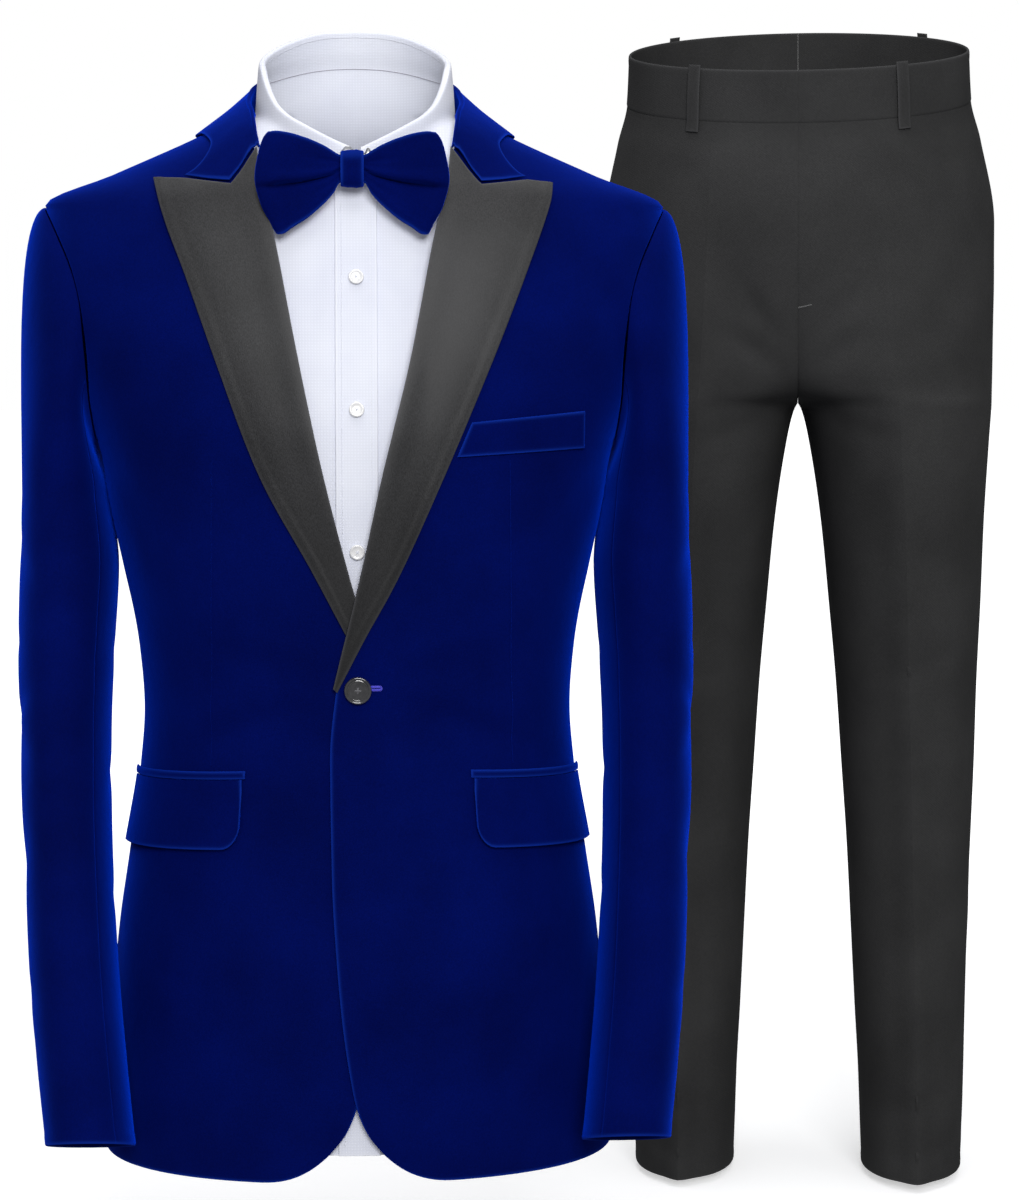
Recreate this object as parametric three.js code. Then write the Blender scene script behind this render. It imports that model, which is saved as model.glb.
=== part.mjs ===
// A tuxedo as its wearer leaves it: one-button jacket with peak lapels, dress shirt, bow tie and trousers.
// Millimetres, +Z up. The fronts face -Y and the wearer's left is +X. The origin is the middle of the
// jacket's neck, level with the points where its shoulder seams meet the collar.
// Each piece is a thin wall: a grid of points on its visible face, and the same grid moved back.

import * as THREE from 'three';

const { degToRad, lerp, smoothstep, clamp } = THREE.MathUtils;
const vec = (x, y, z) => new THREE.Vector3(x, y, z);

// Driving dimensions, found from the photo at the size of a men's 42 Long
const CLOTH = 1.6; // wall of the velvet, the satin and the trousers' wool
const COTTON = 1.3; // wall of the shirt
const SEAM = 0.3; // gap between two pieces that are sewn together
const JACKET_HEM = -785;
const SHOULDER_TIP = -80; // level at which the sleeve is set in
const ARMPIT = -254;
const ARMHOLE_REACH = 76; // half of the armhole, front to back
const NAPE_RISE = 20; // how far the back of the neck is above its sides
const LAP = 2.7; // how far the left front stands off the right one that it covers
const SHIRT_INSET = 6.5; // shirt inside the jacket, sideways
const SHIRT_DROP = 7; // and downwards
const PLACKET_HALF = 15;
const SHIRT_HEM = -766;
const CUFF = -760;
const TROUSERS_AT = vec(392, 393, 0); // middle of the trousers, behind and to the left of the jacket
const TROUSERS_TURN = -0.15; // they face a little towards the jacket's front
const TROUSERS_LEAN = -0.0073;
const TROUSER_HEM = -920;
const WAIST_SEAM = 34.5; // level of the waistband's lower edge, at the sides
const WAIST_TOP = 78.3;

// Rows of numbers, one for each section, whose columns become smooth functions of the first one
function table(names, rows) {
	const at = rows.map((row) => row[0]);
	return Object.fromEntries(names.slice(1).map((name, k) => {
		const values = rows.map((row) => row[k + 1]);
		return [name, (where) => smoothColumn(at, values, where)];
	}));
}

// A cubic through every value that never overshoots between two of them
function smoothColumn(at, values, where) {
	const rising = at[1] > at[0];
	const last = at.length - 1;
	const before = (a, b) => (rising ? a <= b : a >= b);
	if (before(where, at[0])) return values[0];
	if (before(at[last], where)) return values[last];
	let k = 0;
	while (!before(where, at[k + 1])) k += 1;
	const secant = (i) => (values[i + 1] - values[i]) / (at[i + 1] - at[i]);
	const slope = (i) => {
		if (i === 0) return secant(0);
		if (i === last) return secant(last - 1);
		const product = secant(i - 1) * secant(i);
		return product <= 0 ? 0 : 2 * product / (secant(i - 1) + secant(i));
	};
	const step = at[k + 1] - at[k];
	const t = (where - at[k]) / step;
	return (2 * t ** 3 - 3 * t ** 2 + 1) * values[k] + (t ** 3 - 2 * t ** 2 + t) * slope(k) * step
		+ (3 * t ** 2 - 2 * t ** 3) * values[k + 1] + (t ** 3 - t ** 2) * slope(k + 1) * step;
}

// Level sections of the jacket's body, each a rounded box: half its width, and its depths from the middle
const BODY = table(['level', 'half', 'front', 'back', 'power'], [
	[-4, 62, 58, 68, 2],
	[-12, 82, 68, 80, 2],
	[-33, 126, 77, 92, 2.1],
	[-57, 180, 87, 104, 2.3],
	[-80, 230, 97, 113, 2.5],
	[-110, 229, 106, 122, 2.8],
	[-165, 221, 118, 130, 2.9],
	[-215, 207, 127, 131, 2.7],
	[-254, 193, 131, 128, 2.5],
	[-300, 184, 132, 121, 2.35],
	[-347, 175, 131, 113, 2.3],
	[-407, 163.5, 128, 106, 2.25],
	[-453, 160.5, 126, 104, 2.25],
	[-498, 164, 128, 110, 2.25],
	[-558, 172, 132, 122, 2.3],
	[-619, 180, 136, 132, 2.3],
	[-700, 187.5, 139, 137, 2.3],
	[-800, 193.5, 140, 139, 2.3],
]);

// Where each front ends towards the middle, measured towards its own side: the roll line of the lapel down
// to the button, the straight edge below it, and the cutaway that rounds into the hem
const FRONT_EDGE = table(['level', 'left', 'right'], [
	[-12, 72, 73.5],
	[-42, 70.5, 72.5],
	[-75, 66, 67.5],
	[-104, 58, 60],
	[-140, 49.5, 51.5],
	[-194, 39.5, 42.5],
	[-278, 18.5, 24.5],
	[-343, 4.5, 8.5],
	[-384, -5.5, -3],
	[-430, -15.5, -11],
	[-479, -20, -14],
	[-566, -19, -14],
	[-623, -16, -12],
	[-669, -12, -8],
	[-705, -7, -3],
	[-730, -2, 2],
	[-749, 6, 10],
	[-763, 17, 21],
]);
const FRONT_LEVELS = [-12, -24, -42, -62, -80, -87, -103, -130, -165, -200, -228, -246, -254, -300, -350,
	-400, -442, -476, -504, -560, -630, -690, -730, -760, JACKET_HEM];
const CORNER_RISE = 22; // how far the cutaway's corner is above the hem
const CORNER_START = -640;

// A point of the body's surface at a level and an angle: 0 at the centre front, 90 degrees at the wearer's
// left, 180 at the centre back. The shirt's surface is the same one, smaller and lower.
function bodyPoint(level, angle, shirt = false) {
	const at = shirt ? level + SHIRT_DROP : level;
	const inset = shirt ? SHIRT_INSET : 0;
	const power = BODY.power(at);
	const sine = Math.sin(angle);
	const cosine = Math.cos(angle);
	const half = BODY.half(at) - inset;
	const depth = cosine > 0 ? BODY.front(at) - inset : BODY.back(at) - inset * 1.2;
	const radius = (Math.abs(sine / half) ** power + Math.abs(cosine / depth) ** power) ** (-1 / power);
	const nape = NAPE_RISE * Math.max(0, -cosine) ** 2 * smoothstep(at, -130, -8);
	return vec(radius * sine, -radius * cosine, level + nape);
}

// The same point moved out by a lift along the surface's normal
function bodyLifted(level, angle, lift, shirt = false) {
	const across = bodyPoint(level, angle + 0.01, shirt).sub(bodyPoint(level, angle - 0.01, shirt));
	const up = bodyPoint(level + 0.5, angle, shirt).sub(bodyPoint(level - 0.5, angle, shirt));
	return bodyPoint(level, angle, shirt).addScaledVector(across.cross(up).normalize(), lift);
}

// The angle at which a level section of the front is a given distance from the middle
function frontAngle(x, level, shirt = false) {
	const at = shirt ? level + SHIRT_DROP : level;
	const inset = shirt ? SHIRT_INSET : 0;
	const power = BODY.power(at);
	const share = Math.min(Math.abs(x) / (BODY.half(at) - inset), 0.99999);
	const depth = (BODY.front(at) - inset) * (1 - share ** power) ** (1 / power);
	return Math.atan2(x, depth);
}

// How far the armhole reaches to the front and back of the middle, at a level
function armholeReach(level, trim = 0) {
	const middle = (SHOULDER_TIP + ARMPIT) / 2;
	const height = (SHOULDER_TIP - ARMPIT) / 2 - trim;
	const share = (level - middle) / height;
	return Math.abs(share) >= 1 ? 0 : (ARMHOLE_REACH - trim) * Math.sqrt(1 - share * share);
}

// The angle where a panel of the body meets the armhole or, above and below it, the seam at the side
function sideAngle(level, back, shirt = false) {
	const at = shirt ? level + SHIRT_DROP : level;
	const inset = shirt ? SHIRT_INSET : 0;
	const power = BODY.power(at);
	const half = BODY.half(at) - inset;
	const depth = back ? BODY.back(at) - inset * 1.2 : BODY.front(at) - inset;
	const reach = Math.max(armholeReach(level), SEAM / 2);
	const width = half * (1 - (reach / depth) ** power) ** (1 / power);
	return Math.atan2(width, back ? -reach : reach);
}

// The direction of a line of points at one of them, true to the second order where the steps are uneven
function tangent(line, k) {
	const last = line.length - 1;
	if (last === 1) return line[1].clone().sub(line[0]);
	const middle = clamp(k, 1, last - 1);
	const before = line[middle].distanceTo(line[middle - 1]);
	const after = line[middle].distanceTo(line[middle + 1]);
	const first = line[middle].clone().sub(line[middle - 1]).divideScalar(before);
	const second = line[middle + 1].clone().sub(line[middle]).divideScalar(after);
	const there = first.clone().multiplyScalar(after).addScaledVector(second, before);
	there.divideScalar(before + after);
	if (k === 0) return first.multiplyScalar(2).sub(there);
	if (k === last) return second.multiplyScalar(2).sub(there);
	return there;
}

// A closed wall behind a grid of points: rows run down and columns to the right, seen from the visible face,
// and sense is -1 for a grid that is the mirror image of such a one
function wall(rows, thickness, sense = 1) {
	const down = rows.length;
	const across = rows[0].length;
	const columns = rows[0].map((_, j) => rows.map((row) => row[j]));
	const outer = rows.flat();
	const inner = rows.flatMap((row, i) => row.map((point, j) => {
		const normal = tangent(columns[j], i).cross(tangent(row, j)).normalize();
		return point.clone().addScaledVector(normal, -thickness * sense);
	}));
	const faces = [];
	const quad = (a, b, c, d) => faces.push(a, b, c, a, c, d);
	const back = outer.length;
	for (let i = 0; i < down - 1; i += 1) {
		for (let j = 0; j < across - 1; j += 1) {
			const a = i * across + j;
			quad(a, a + across, a + across + 1, a + 1);
			quad(back + a, back + a + 1, back + a + across + 1, back + a + across);
		}
	}
	const rim = [];
	for (let j = 0; j < across; j += 1) rim.push(j);
	for (let i = 1; i < down; i += 1) rim.push(i * across + across - 1);
	for (let j = across - 2; j >= 0; j -= 1) rim.push((down - 1) * across + j);
	for (let i = down - 2; i >= 1; i -= 1) rim.push(i * across);
	rim.forEach((a, k) => {
		const b = rim[(k + 1) % rim.length];
		quad(a, b, back + b, back + a);
	});
	if (sense < 0) faces.reverse();
	return solid([...outer, ...inner], faces);
}

function solid(points, faces) {
	const geometry = new THREE.BufferGeometry();
	geometry.setAttribute('position', new THREE.Float32BufferAttribute(points.flatMap((p) => p.toArray()), 3));
	geometry.setIndex(faces);
	geometry.computeVertexNormals();
	return geometry;
}

// A grid made by a function of two shares, down and across
function grid(down, across, point) {
	return Array.from({ length: down + 1 }, (_, i) => (
		Array.from({ length: across + 1 }, (_unused, j) => point(i / down, j / across))));
}

// A curve through flat points, as a function of the share of its length; bent keeps the corners sharp
function curve(points) {
	const path = new THREE.CatmullRomCurve3(points.map(([x, z]) => vec(x, 0, z)), false, 'centripetal');
	return (share) => path.getPointAt(clamp(share, 0, 1));
}

function bent(points) {
	const path = new THREE.CurvePath();
	for (let k = 1; k < points.length; k += 1) {
		const [x, z] = points[k - 1];
		path.add(new THREE.LineCurve3(vec(x, 0, z), vec(points[k][0], 0, points[k][1])));
	}
	return (share) => path.getPointAt(clamp(share, 0, 1));
}

// A flat patch between four curves that meet at its corners
function patch(top, bottom, left, right) {
	return (v, u) => {
		const along = top(u).lerp(bottom(u), v).add(left(v).lerp(right(v), u));
		const corners = top(0).lerp(top(1), u).lerp(bottom(0).lerp(bottom(1), u), v);
		return along.sub(corners);
	};
}

const mirrored = (rows, side) => rows.map((row) => row.map((p) => vec(p.x * side, p.y, p.z)));

const suit = new THREE.Group();
const material = (color, roughness, metalness = 0) => (
	new THREE.MeshStandardMaterial({ color, roughness, metalness, side: THREE.DoubleSide }));
const velvet = material(0x06107a, 0.85);
const satin = material(0x303234, 0.35);
const cotton = material(0xe6e8f0, 0.8);
const wool = material(0x2a2a2c, 0.8);
const horn = material(0x0a0a0c, 0.25);
const pearl = material(0xf0eee8, 0.3);
const steel = material(0x9a9a96, 0.3, 1);

function add(name, geometry, finish, parent = suit) {
	const mesh = new THREE.Mesh(geometry, finish);
	mesh.name = name;
	parent.add(mesh);
	return mesh;
}

const SIDES = [['left', 1], ['right', -1]];

// How far the left front stands off the right one near the middle
const lapLift = (x, side) => (side > 0 ? LAP * (1 - smoothstep(x, 18, 52)) : 0);

// The body of the jacket: two fronts that lap at the button, and two backs that meet at the centre seam
function frontRows(name, side) {
	return FRONT_LEVELS.map((level) => {
		const fade = 1 - smoothstep(level, JACKET_HEM, CORNER_START);
		const top = level + CORNER_RISE * fade;
		const start = frontAngle(FRONT_EDGE[name](top), top);
		return Array.from({ length: 9 }, (_, j) => {
			const share = (j / 8) ** 1.1;
			const height = level + CORNER_RISE * fade * Math.max(0, 1 - share / 0.25) ** 2.4;
			const angle = lerp(start, Math.PI / 2, share) + (sideAngle(height, false) - Math.PI / 2) * share ** 3;
			const lift = lapLift(bodyPoint(height, angle).x, side);
			return bodyLifted(height, angle, lift);
		});
	});
}

function backRows() {
	return FRONT_LEVELS.map((level) => Array.from({ length: 7 }, (_, j) => {
		const share = 1 - j / 6;
		const middle = Math.PI - SEAM / 2 / BODY.back(level);
		const angle = lerp(middle, Math.PI / 2, share) + (sideAngle(level, true) - Math.PI / 2) * share ** 3;
		return bodyPoint(level, angle);
	}));
}

for (const [name, side] of SIDES) {
	add(`jacket_front_${name}`, wall(mirrored(frontRows(name, side), side), CLOTH, side), velvet);
	add(`jacket_back_${name}`, wall(mirrored(backRows(), side), CLOTH, side), velvet);
}

// Peak lapels: flat outlines of their top, outer edge and roll line, on the wearer's own side
const LAPELS = {
	left: {
		top: bent([[67.5, -42.5], [81.5, -61], [89.5, -69.8], [123, -66.2], [142, -68]]),
		outer: curve([[142, -68], [140, -80], [123, -128], [97, -194], [32, -342], [5, -392], [-14.5, -430]]),
		roll: curve([[67.5, -42.5], [64, -75], [56, -104], [38, -194], [17, -278], [3, -342], [-17.5, -427]]),
	},
	right: {
		top: bent([[70, -43.2], [81.5, -61], [88.5, -69.8], [122, -65.8], [145, -65]]),
		outer: curve([[145, -65], [136, -95], [122, -132], [100, -194], [68, -278], [33, -342], [8.5, -389]]),
		roll: curve([[70, -43.2], [65.5, -75], [58, -106], [41, -194], [23, -278], [7, -342], [1.2, -363]]),
	},
};

// The lapel lies on its front but for a soft roll beside the roll line and a low belly
function lapelLift(v, u, x, side) {
	const fade = 1 - smoothstep(v, 0.6, 0.97);
	const roll = 3.2 * Math.exp(-((u / 0.3) ** 2)) * fade;
	const belly = 1.8 * Math.sin(Math.PI * u) * fade;
	const peak = 1.4 * smoothstep(u, 0.5, 1) * (1 - smoothstep(v, 0, 0.25));
	return CLOTH + 0.7 + roll + belly + peak + lapLift(x, side);
}

function lapelRows(name, side) {
	const shape = LAPELS[name];
	const end = (u) => shape.roll(1).lerp(shape.outer(1), u);
	const flat = patch(shape.top, end, shape.roll, shape.outer);
	return grid(16, 5, (v, u) => {
		const { x, z } = flat(v, u);
		return bodyLifted(z, frontAngle(x, z), lapelLift(v, u, x, side));
	});
}

for (const [name, side] of SIDES) {
	add(`lapel_${name}`, wall(mirrored(lapelRows(name, side), side), CLOTH, side), satin);
}

// The jacket's collar, seen in plan from its centre back to its end at the lapel: the line of its fold, and
// how far the seam below it and the fall outside it reach
const COLLAR_COLUMNS = ['share', 'foldX', 'foldY', 'foldZ', 'fallAngle', 'fallLevel', 'seamAngle',
	'seamLevel'];
const COLLAR = table(COLLAR_COLUMNS, [
	[0, 0, 81, 39, 180, -34, 180, -10.5],
	[0.16, 33, 75.5, 35, 150, -34, 156, -10.5],
	[0.32, 61, 54, 24, 125, -33, 130, -10.5],
	[0.48, 77.5, 18, 9, 100, -30, 102, -10.5],
	[0.62, 79, -12, -1, 80, -29, 81, -10.5],
	[0.76, 75.5, -43, -11, 63.5, -37, 56.8, -15],
	[0.88, 73, -66, -24, 58, -49, 46, -33],
	[1, 70.5, -78, -38, 55, -62, 42.8, -41],
]);
const COLLAR_FOLD = 2.4; // half of the room inside the fold
const COLLAR_END = bent([[70.8, -39.6], [83, -58.3], [90, -67], [106, -65.3], [122.5, -62.3]]);

function collarPoint(u, v) {
	const fold = vec(COLLAR.foldX(u), COLLAR.foldY(u), COLLAR.foldZ(u));
	const out = vec(fold.x, fold.y, 0).normalize();
	const seam = bodyLifted(COLLAR.seamLevel(u), degToRad(COLLAR.seamAngle(u)), 0.9);
	const fall = bodyLifted(COLLAR.fallLevel(u), degToRad(COLLAR.fallAngle(u)), CLOTH + 0.9);
	const room = COLLAR_FOLD * (1 - 0.25 * u);
	const inner = fold.clone().addScaledVector(out, -room).add(vec(0, 0, -room));
	if (v < 0.3) return seam.lerp(inner, v / 0.3);
	if (v < 0.5) {
		const turn = Math.PI * (v - 0.3) / 0.2;
		return inner.addScaledVector(out, room * (1 - Math.cos(turn))).add(vec(0, 0, room * Math.sin(turn)));
	}
	const outer = fold.clone().addScaledVector(out, room).add(vec(0, 0, -room));
	const share = (v - 0.5) / 0.5;
	const shoulder = outer.clone().lerp(fall, 0.45).addScaledVector(out, 0.3).add(vec(0, 0, 0.8));
	const leaf = outer.lerp(shoulder, share).lerp(shoulder.clone().lerp(fall, share), share);
	const { x, z } = COLLAR_END(share);
	const end = bodyLifted(z, frontAngle(x, z), CLOTH + 1.1 + 2.2 * (1 - share));
	return leaf.lerp(end, smoothstep(u, 0.8, 1) ** 1.5 * smoothstep(share, 0, 0.25));
}

const COLLAR_STEPS = [0, 0.3, 0.4, 0.5, 0.66, 0.83, 1];

function collarRows() {
	const half = Array.from({ length: 14 }, (_, j) => COLLAR_STEPS.map((v) => collarPoint(j / 13, v)));
	const other = half.slice(1).reverse().map((line) => line.map((p) => vec(-p.x, p.y, p.z)));
	const lines = [...other, ...half].reverse();
	return COLLAR_STEPS.map((_, i) => lines.map((line) => line[i]));
}

add('jacket_collar', wall(collarRows(), CLOTH), velvet);

// Two-piece sleeves: level rings below the armpit, and above it curves from the armhole to the first ring
const SLEEVE = table(['level', 'inner', 'outer', 'middle', 'reach', 'pitch'], [
	[-292, 186, 249, -2, 74, 0],
	[-347, 179, 251, -8, 71, 0.03],
	[-407, 182, 252, -17, 68, 0.08],
	[-468, 184, 250.3, -30, 65, 0.13],
	[-528, 183, 247.5, -47, 62, 0.18],
	[-588, 180, 243.5, -66, 59.5, 0.22],
	[-650, 175, 239, -86, 57, 0.25],
	[-705, 169, 233, -103, 54.5, 0.28],
	[-760, 162.5, 226, -119, 52, 0.3],
]);
const SLEEVE_TOP = -292;
const SLEEVE_LEVELS = [-325, -360, -400, -440, -485, -540, -595, -650, -705, CUFF];
const SEAM_FRONT = -28; // the seams of the sleeve, in degrees from its front edge
const SEAM_BACK = 208;
const SLEEVE_GAP = SEAM / 40; // half of the gap at those seams, in radians

// Large soft folds of the sleeve: level of the middle, angle, depth, height and slant
const SLEEVE_FOLDS = [
	{ level: -352, angle: 20, depth: 2.6, height: 16, slant: 0.5 },
	{ level: -432, angle: 5, depth: 2.2, height: 14, slant: -0.4 },
	{ level: -487, angle: 30, depth: 2.4, height: 18, slant: 0.45 },
	{ level: -560, angle: 55, depth: 1.8, height: 20, slant: -0.35 },
	{ level: -470, angle: 150, depth: 2.6, height: 17, slant: 0.4 },
	{ level: -610, angle: 125, depth: 1.8, height: 18, slant: -0.4 },
];

function foldDepth(folds, level, angle) {
	return folds.reduce((sum, fold) => {
		const turn = (((angle - fold.angle + 540) % 360) - 180);
		const height = (level - fold.level - fold.slant * turn) / fold.height;
		return sum - fold.depth * Math.exp(-((turn / 42) ** 2) - height ** 2);
	}, 0);
}

function sleeveRing(level, angle) {
	const inner = SLEEVE.inner(level);
	const outer = SLEEVE.outer(level);
	const sine = Math.sin(angle);
	const cosine = Math.cos(angle);
	const power = 2.25;
	const half = (outer - inner) / 2 + foldDepth(SLEEVE_FOLDS, level, angle * 180 / Math.PI);
	const reach = SLEEVE.reach(level);
	const radius = (Math.abs(sine / half) ** power + Math.abs(cosine / reach) ** power) ** (-1 / power);
	const back = -radius * cosine;
	const x = (inner + outer) / 2 + radius * sine;
	return vec(x, SLEEVE.middle(level) + back, level - SLEEVE.pitch(level) * back);
}

// The armhole on the jacket's outside, a seam's gap within the panels' edge
function armholePoint(angle) {
	const gap = 0.7;
	const middle = (SHOULDER_TIP + ARMPIT) / 2;
	const height = (SHOULDER_TIP - ARMPIT) / 2 - gap;
	const y = -(ARMHOLE_REACH - gap) * Math.cos(angle);
	const z = middle + height * Math.sin(angle);
	const power = BODY.power(z);
	const depth = y < 0 ? BODY.front(z) : BODY.back(z);
	const x = BODY.half(z) * (1 - (Math.abs(y) / depth) ** power) ** (1 / power);
	const away = vec(1, 0, 0).multiplyScalar(0.35 + 0.5 * Math.max(0, -Math.sin(angle)));
	return vec(x, y, z).add(away);
}

// From the armhole the cloth leaves sideways over the top, and turns down into the first ring
function sleeveCap(share, angle) {
	const start = armholePoint(angle);
	const end = sleeveRing(SLEEVE_TOP, angle);
	const sine = Math.sin(angle);
	const length = start.distanceTo(end);
	const top = Math.max(0, sine);
	const leave = vec(0.35 + 0.6 * top, -0.3 * Math.cos(angle), -0.75 + 0.6 * top);
	leave.multiplyScalar(length * (0.9 - 0.55 * top));
	const arrive = vec(0, 0, -1).multiplyScalar(length * 0.8);
	const t = share;
	return start.multiplyScalar(2 * t ** 3 - 3 * t ** 2 + 1)
		.addScaledVector(leave, t ** 3 - 2 * t ** 2 + t)
		.addScaledVector(end, 3 * t ** 2 - 2 * t ** 3)
		.addScaledVector(arrive, t ** 3 - t ** 2);
}

const CAP_STEPS = [0, 0.08, 0.2, 0.38, 0.62, 1];

function sleeveRows(from, to, across) {
	const start = degToRad(from) + SLEEVE_GAP;
	const end = degToRad(to) - SLEEVE_GAP;
	const angles = Array.from({ length: across + 1 }, (_, j) => lerp(start, end, j / across));
	return [
		...CAP_STEPS.map((share) => angles.map((angle) => sleeveCap(share, angle))),
		...SLEEVE_LEVELS.map((level) => angles.map((angle) => sleeveRing(level, angle))),
	];
}

for (const [name, side] of SIDES) {
	const top = mirrored(sleeveRows(SEAM_FRONT, SEAM_BACK, 9), side);
	const under = mirrored(sleeveRows(SEAM_BACK, SEAM_FRONT + 360, 5), side);
	add(`sleeve_top_${name}`, wall(top, CLOTH, side), velvet);
	add(`sleeve_under_${name}`, wall(under, CLOTH, side), velvet);
}

// Pockets of the jacket: flaps under a jet at both hips, in degrees round the body and levels, and a welt
const FLAP = { from: 36, to: 84, inner: -494.5, outer: -503, height: 50, corner: 15 };
const JET_HEIGHT = 6;

function flapRows() {
	const levelAt = (share) => lerp(FLAP.inner, FLAP.outer, share);
	return grid(4, 9, (v, u) => {
		const share = u ** 1.15;
		const away = share * 150;
		const inside = Math.max(0, FLAP.corner - away);
		const round = FLAP.corner - Math.sqrt(FLAP.corner ** 2 - inside ** 2);
		const height = (FLAP.height - round) * v;
		const angle = degToRad(lerp(FLAP.from, FLAP.to, share));
		return bodyLifted(levelAt(share) - height, angle, CLOTH + 0.6 + 2.2 * v);
	});
}

function jetRows() {
	return grid(1, 9, (v, u) => {
		const angle = degToRad(lerp(FLAP.from - 1, FLAP.to + 1, u));
		const level = lerp(FLAP.inner, FLAP.outer, u) + 0.5 + JET_HEIGHT * (1 - v);
		return bodyLifted(level, angle, CLOTH + 0.5);
	});
}

const WELT = patch(
	bent([[81.5, -238], [164, -230]]),
	bent([[71, -262.5], [164, -257]]),
	bent([[81.5, -238], [71, -262.5]]),
	bent([[164, -230], [164, -257]]),
);

for (const [name, side] of SIDES) {
	add(`flap_${name}`, wall(mirrored(flapRows(), side), CLOTH, side), velvet);
	add(`jet_${name}`, wall(mirrored(jetRows(), side), CLOTH, side), velvet);
}
add('breast_welt', wall(grid(2, 7, (v, u) => {
	const { x, z } = WELT(v, u);
	return bodyLifted(z, frontAngle(x, z), CLOTH + 0.5);
}), CLOTH), velvet);

// Buttons are turned discs with a raised rim
function button(radius, thick, rim, sides) {
	const profile = [[0, 0], [0.9, 0], [1, thick * 0.55], [0.9, thick], [0.72, thick], [0.64, thick - rim],
		[0, thick - rim]];
	return new THREE.LatheGeometry(profile.map(([x, y]) => new THREE.Vector2(x * radius, y)), sides);
}

function addButton(name, geometry, finish, x, level, lift, shirt) {
	const mesh = add(name, geometry, finish);
	const angle = frontAngle(x, level, shirt);
	mesh.position.copy(bodyLifted(level, angle, lift, shirt));
	const out = bodyLifted(level, angle, lift + 1, shirt).sub(mesh.position);
	mesh.quaternion.setFromUnitVectors(vec(0, 1, 0), out.normalize());
}

addButton('front_button', button(10, 3.2, 1, 20), horn, 0, -428.5, LAP + 0.4, false);

// The shirt: fronts that meet under the placket, a one-piece back, a stand and a folded collar
const STAND = table(['degrees', 'fold', 'leaf'], [
	[0, -43, -66],
	[17, -31, -76],
	[27, -24, -79],
	[38, -17, -62],
	[50, -9, -42],
	[66, 8, -28],
	[77, 22, -20],
	[98, 31, -12],
	[120, 41, -5],
	[134, 47.5, 1],
	[150, 54, 6],
	[165, 57.5, 9],
	[180, 58.5, 10],
]);
const STAND_HALF = 68.5;
const STAND_FRONT = 83;
const STAND_BACK = 70;
const LEAF_OUT = 3; // the leaf's visible face off the stand's, at the fold
const LEAF_FLARE = 3.2; // and how much further at its edge
const LEAF_FOLD = 2; // radius of the fold

function standPoint(angle, level, out) {
	const depth = Math.cos(angle) > 0 ? STAND_FRONT : STAND_BACK;
	const radius = 1 / Math.hypot(Math.sin(angle) / STAND_HALF, Math.cos(angle) / depth) + out;
	return vec(radius * Math.sin(angle), -radius * Math.cos(angle), level);
}

// The level at which the shirt's surface is a given way outside the stand, at an angle
function neckLevel(angle, out) {
	let low = -130;
	let high = -11;
	for (let k = 0; k < 30; k += 1) {
		const level = (low + high) / 2;
		const body = bodyLifted(level, angle, -COTTON, true);
		const stand = standPoint(angle, level, out);
		if (Math.hypot(body.x, body.y) > Math.hypot(stand.x, stand.y)) low = level;
		else high = level;
	}
	return bodyPoint((low + high) / 2, angle, true).z;
}

// The neck seam the other way round: its angle at a level of the front
const NECK_CLEAR = 1.2;

function neckAngle(level) {
	let low = 0;
	let high = Math.PI / 2;
	if (neckLevel(0, NECK_CLEAR) >= level) return 0;
	for (let k = 0; k < 30; k += 1) {
		const angle = (low + high) / 2;
		if (neckLevel(angle, NECK_CLEAR) < level) low = angle;
		else high = angle;
	}
	return (low + high) / 2;
}

const SHIRT_SIDE = [-254, -300, -350, -400, -442, -476, -504, -560, -630, -700, SHIRT_HEM];
const SHIRT_LEVELS = [-18, -25, -34, -46, -56, -64, -70, -78, -100, -135, -170, -205, -240, ...SHIRT_SIDE];
const SHIRT_BACK_LEVELS = [-18, -34, -60, -100, -150, -205, ...SHIRT_SIDE];

function shirtFrontRows() {
	return SHIRT_LEVELS.map((level) => {
		const start = Math.max(neckAngle(level), frontAngle(SEAM / 2, level, true));
		return Array.from({ length: 7 }, (_, j) => (
			bodyPoint(level, lerp(start, sideAngle(level, false, true), (j / 6) ** 1.15), true)));
	});
}

// At the back the shirt climbs the neck to the seam of the stand
const NECK_RISE = 29;
const STAND_TUCK = 0.96; // share of that rise at which the stand starts, just inside the shirt
const neckRise = (angle) => NECK_RISE * smoothstep(-Math.cos(angle), 0, 0.65);

function shirtBackRows() {
	const row = (level, climb) => {
		const start = sideAngle(level, true, true);
		return Array.from({ length: 17 }, (_, j) => {
			const angle = lerp(start, 2 * Math.PI - start, j / 16);
			const point = bodyPoint(level, angle, true);
			if (climb === 0) return point;
			return standPoint(angle, point.z + (2 + neckRise(angle)) * climb, NECK_CLEAR + COTTON);
		});
	};
	const top = SHIRT_BACK_LEVELS[0];
	return [row(top, 1), row(top, 0.5), ...SHIRT_BACK_LEVELS.map((level) => row(level, 0))];
}

for (const [name, side] of SIDES) {
	add(`shirt_front_${name}`, wall(mirrored(shirtFrontRows(), side), COTTON, side), cotton);
}
add('shirt_back', wall(shirtBackRows(), COTTON), cotton);

// The placket covers the place where the fronts meet
const PLACKET_LEVELS = SHIRT_LEVELS.filter((level) => level < -75);
add('shirt_placket', wall(PLACKET_LEVELS.map((level) => [-1, 0, 1].map((share) => {
	const angle = frontAngle(PLACKET_HALF * share, level, true);
	return bodyLifted(level, angle, COTTON + 0.6, true);
})), COTTON), cotton);

const foldLevel = (angle) => STAND.fold(Math.min(angle, 2 * Math.PI - angle) * 180 / Math.PI);

add('shirt_collar_stand', wall(grid(2, 30, (v, u) => {
	const angle = lerp(degToRad(1), degToRad(359), u);
	const seam = neckLevel(angle, NECK_CLEAR) + 0.3 + neckRise(angle) * STAND_TUCK;
	return standPoint(angle, lerp(foldLevel(angle) - 2.4, seam, v), -0.6 * (1 - v));
}), COTTON), cotton);

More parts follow.
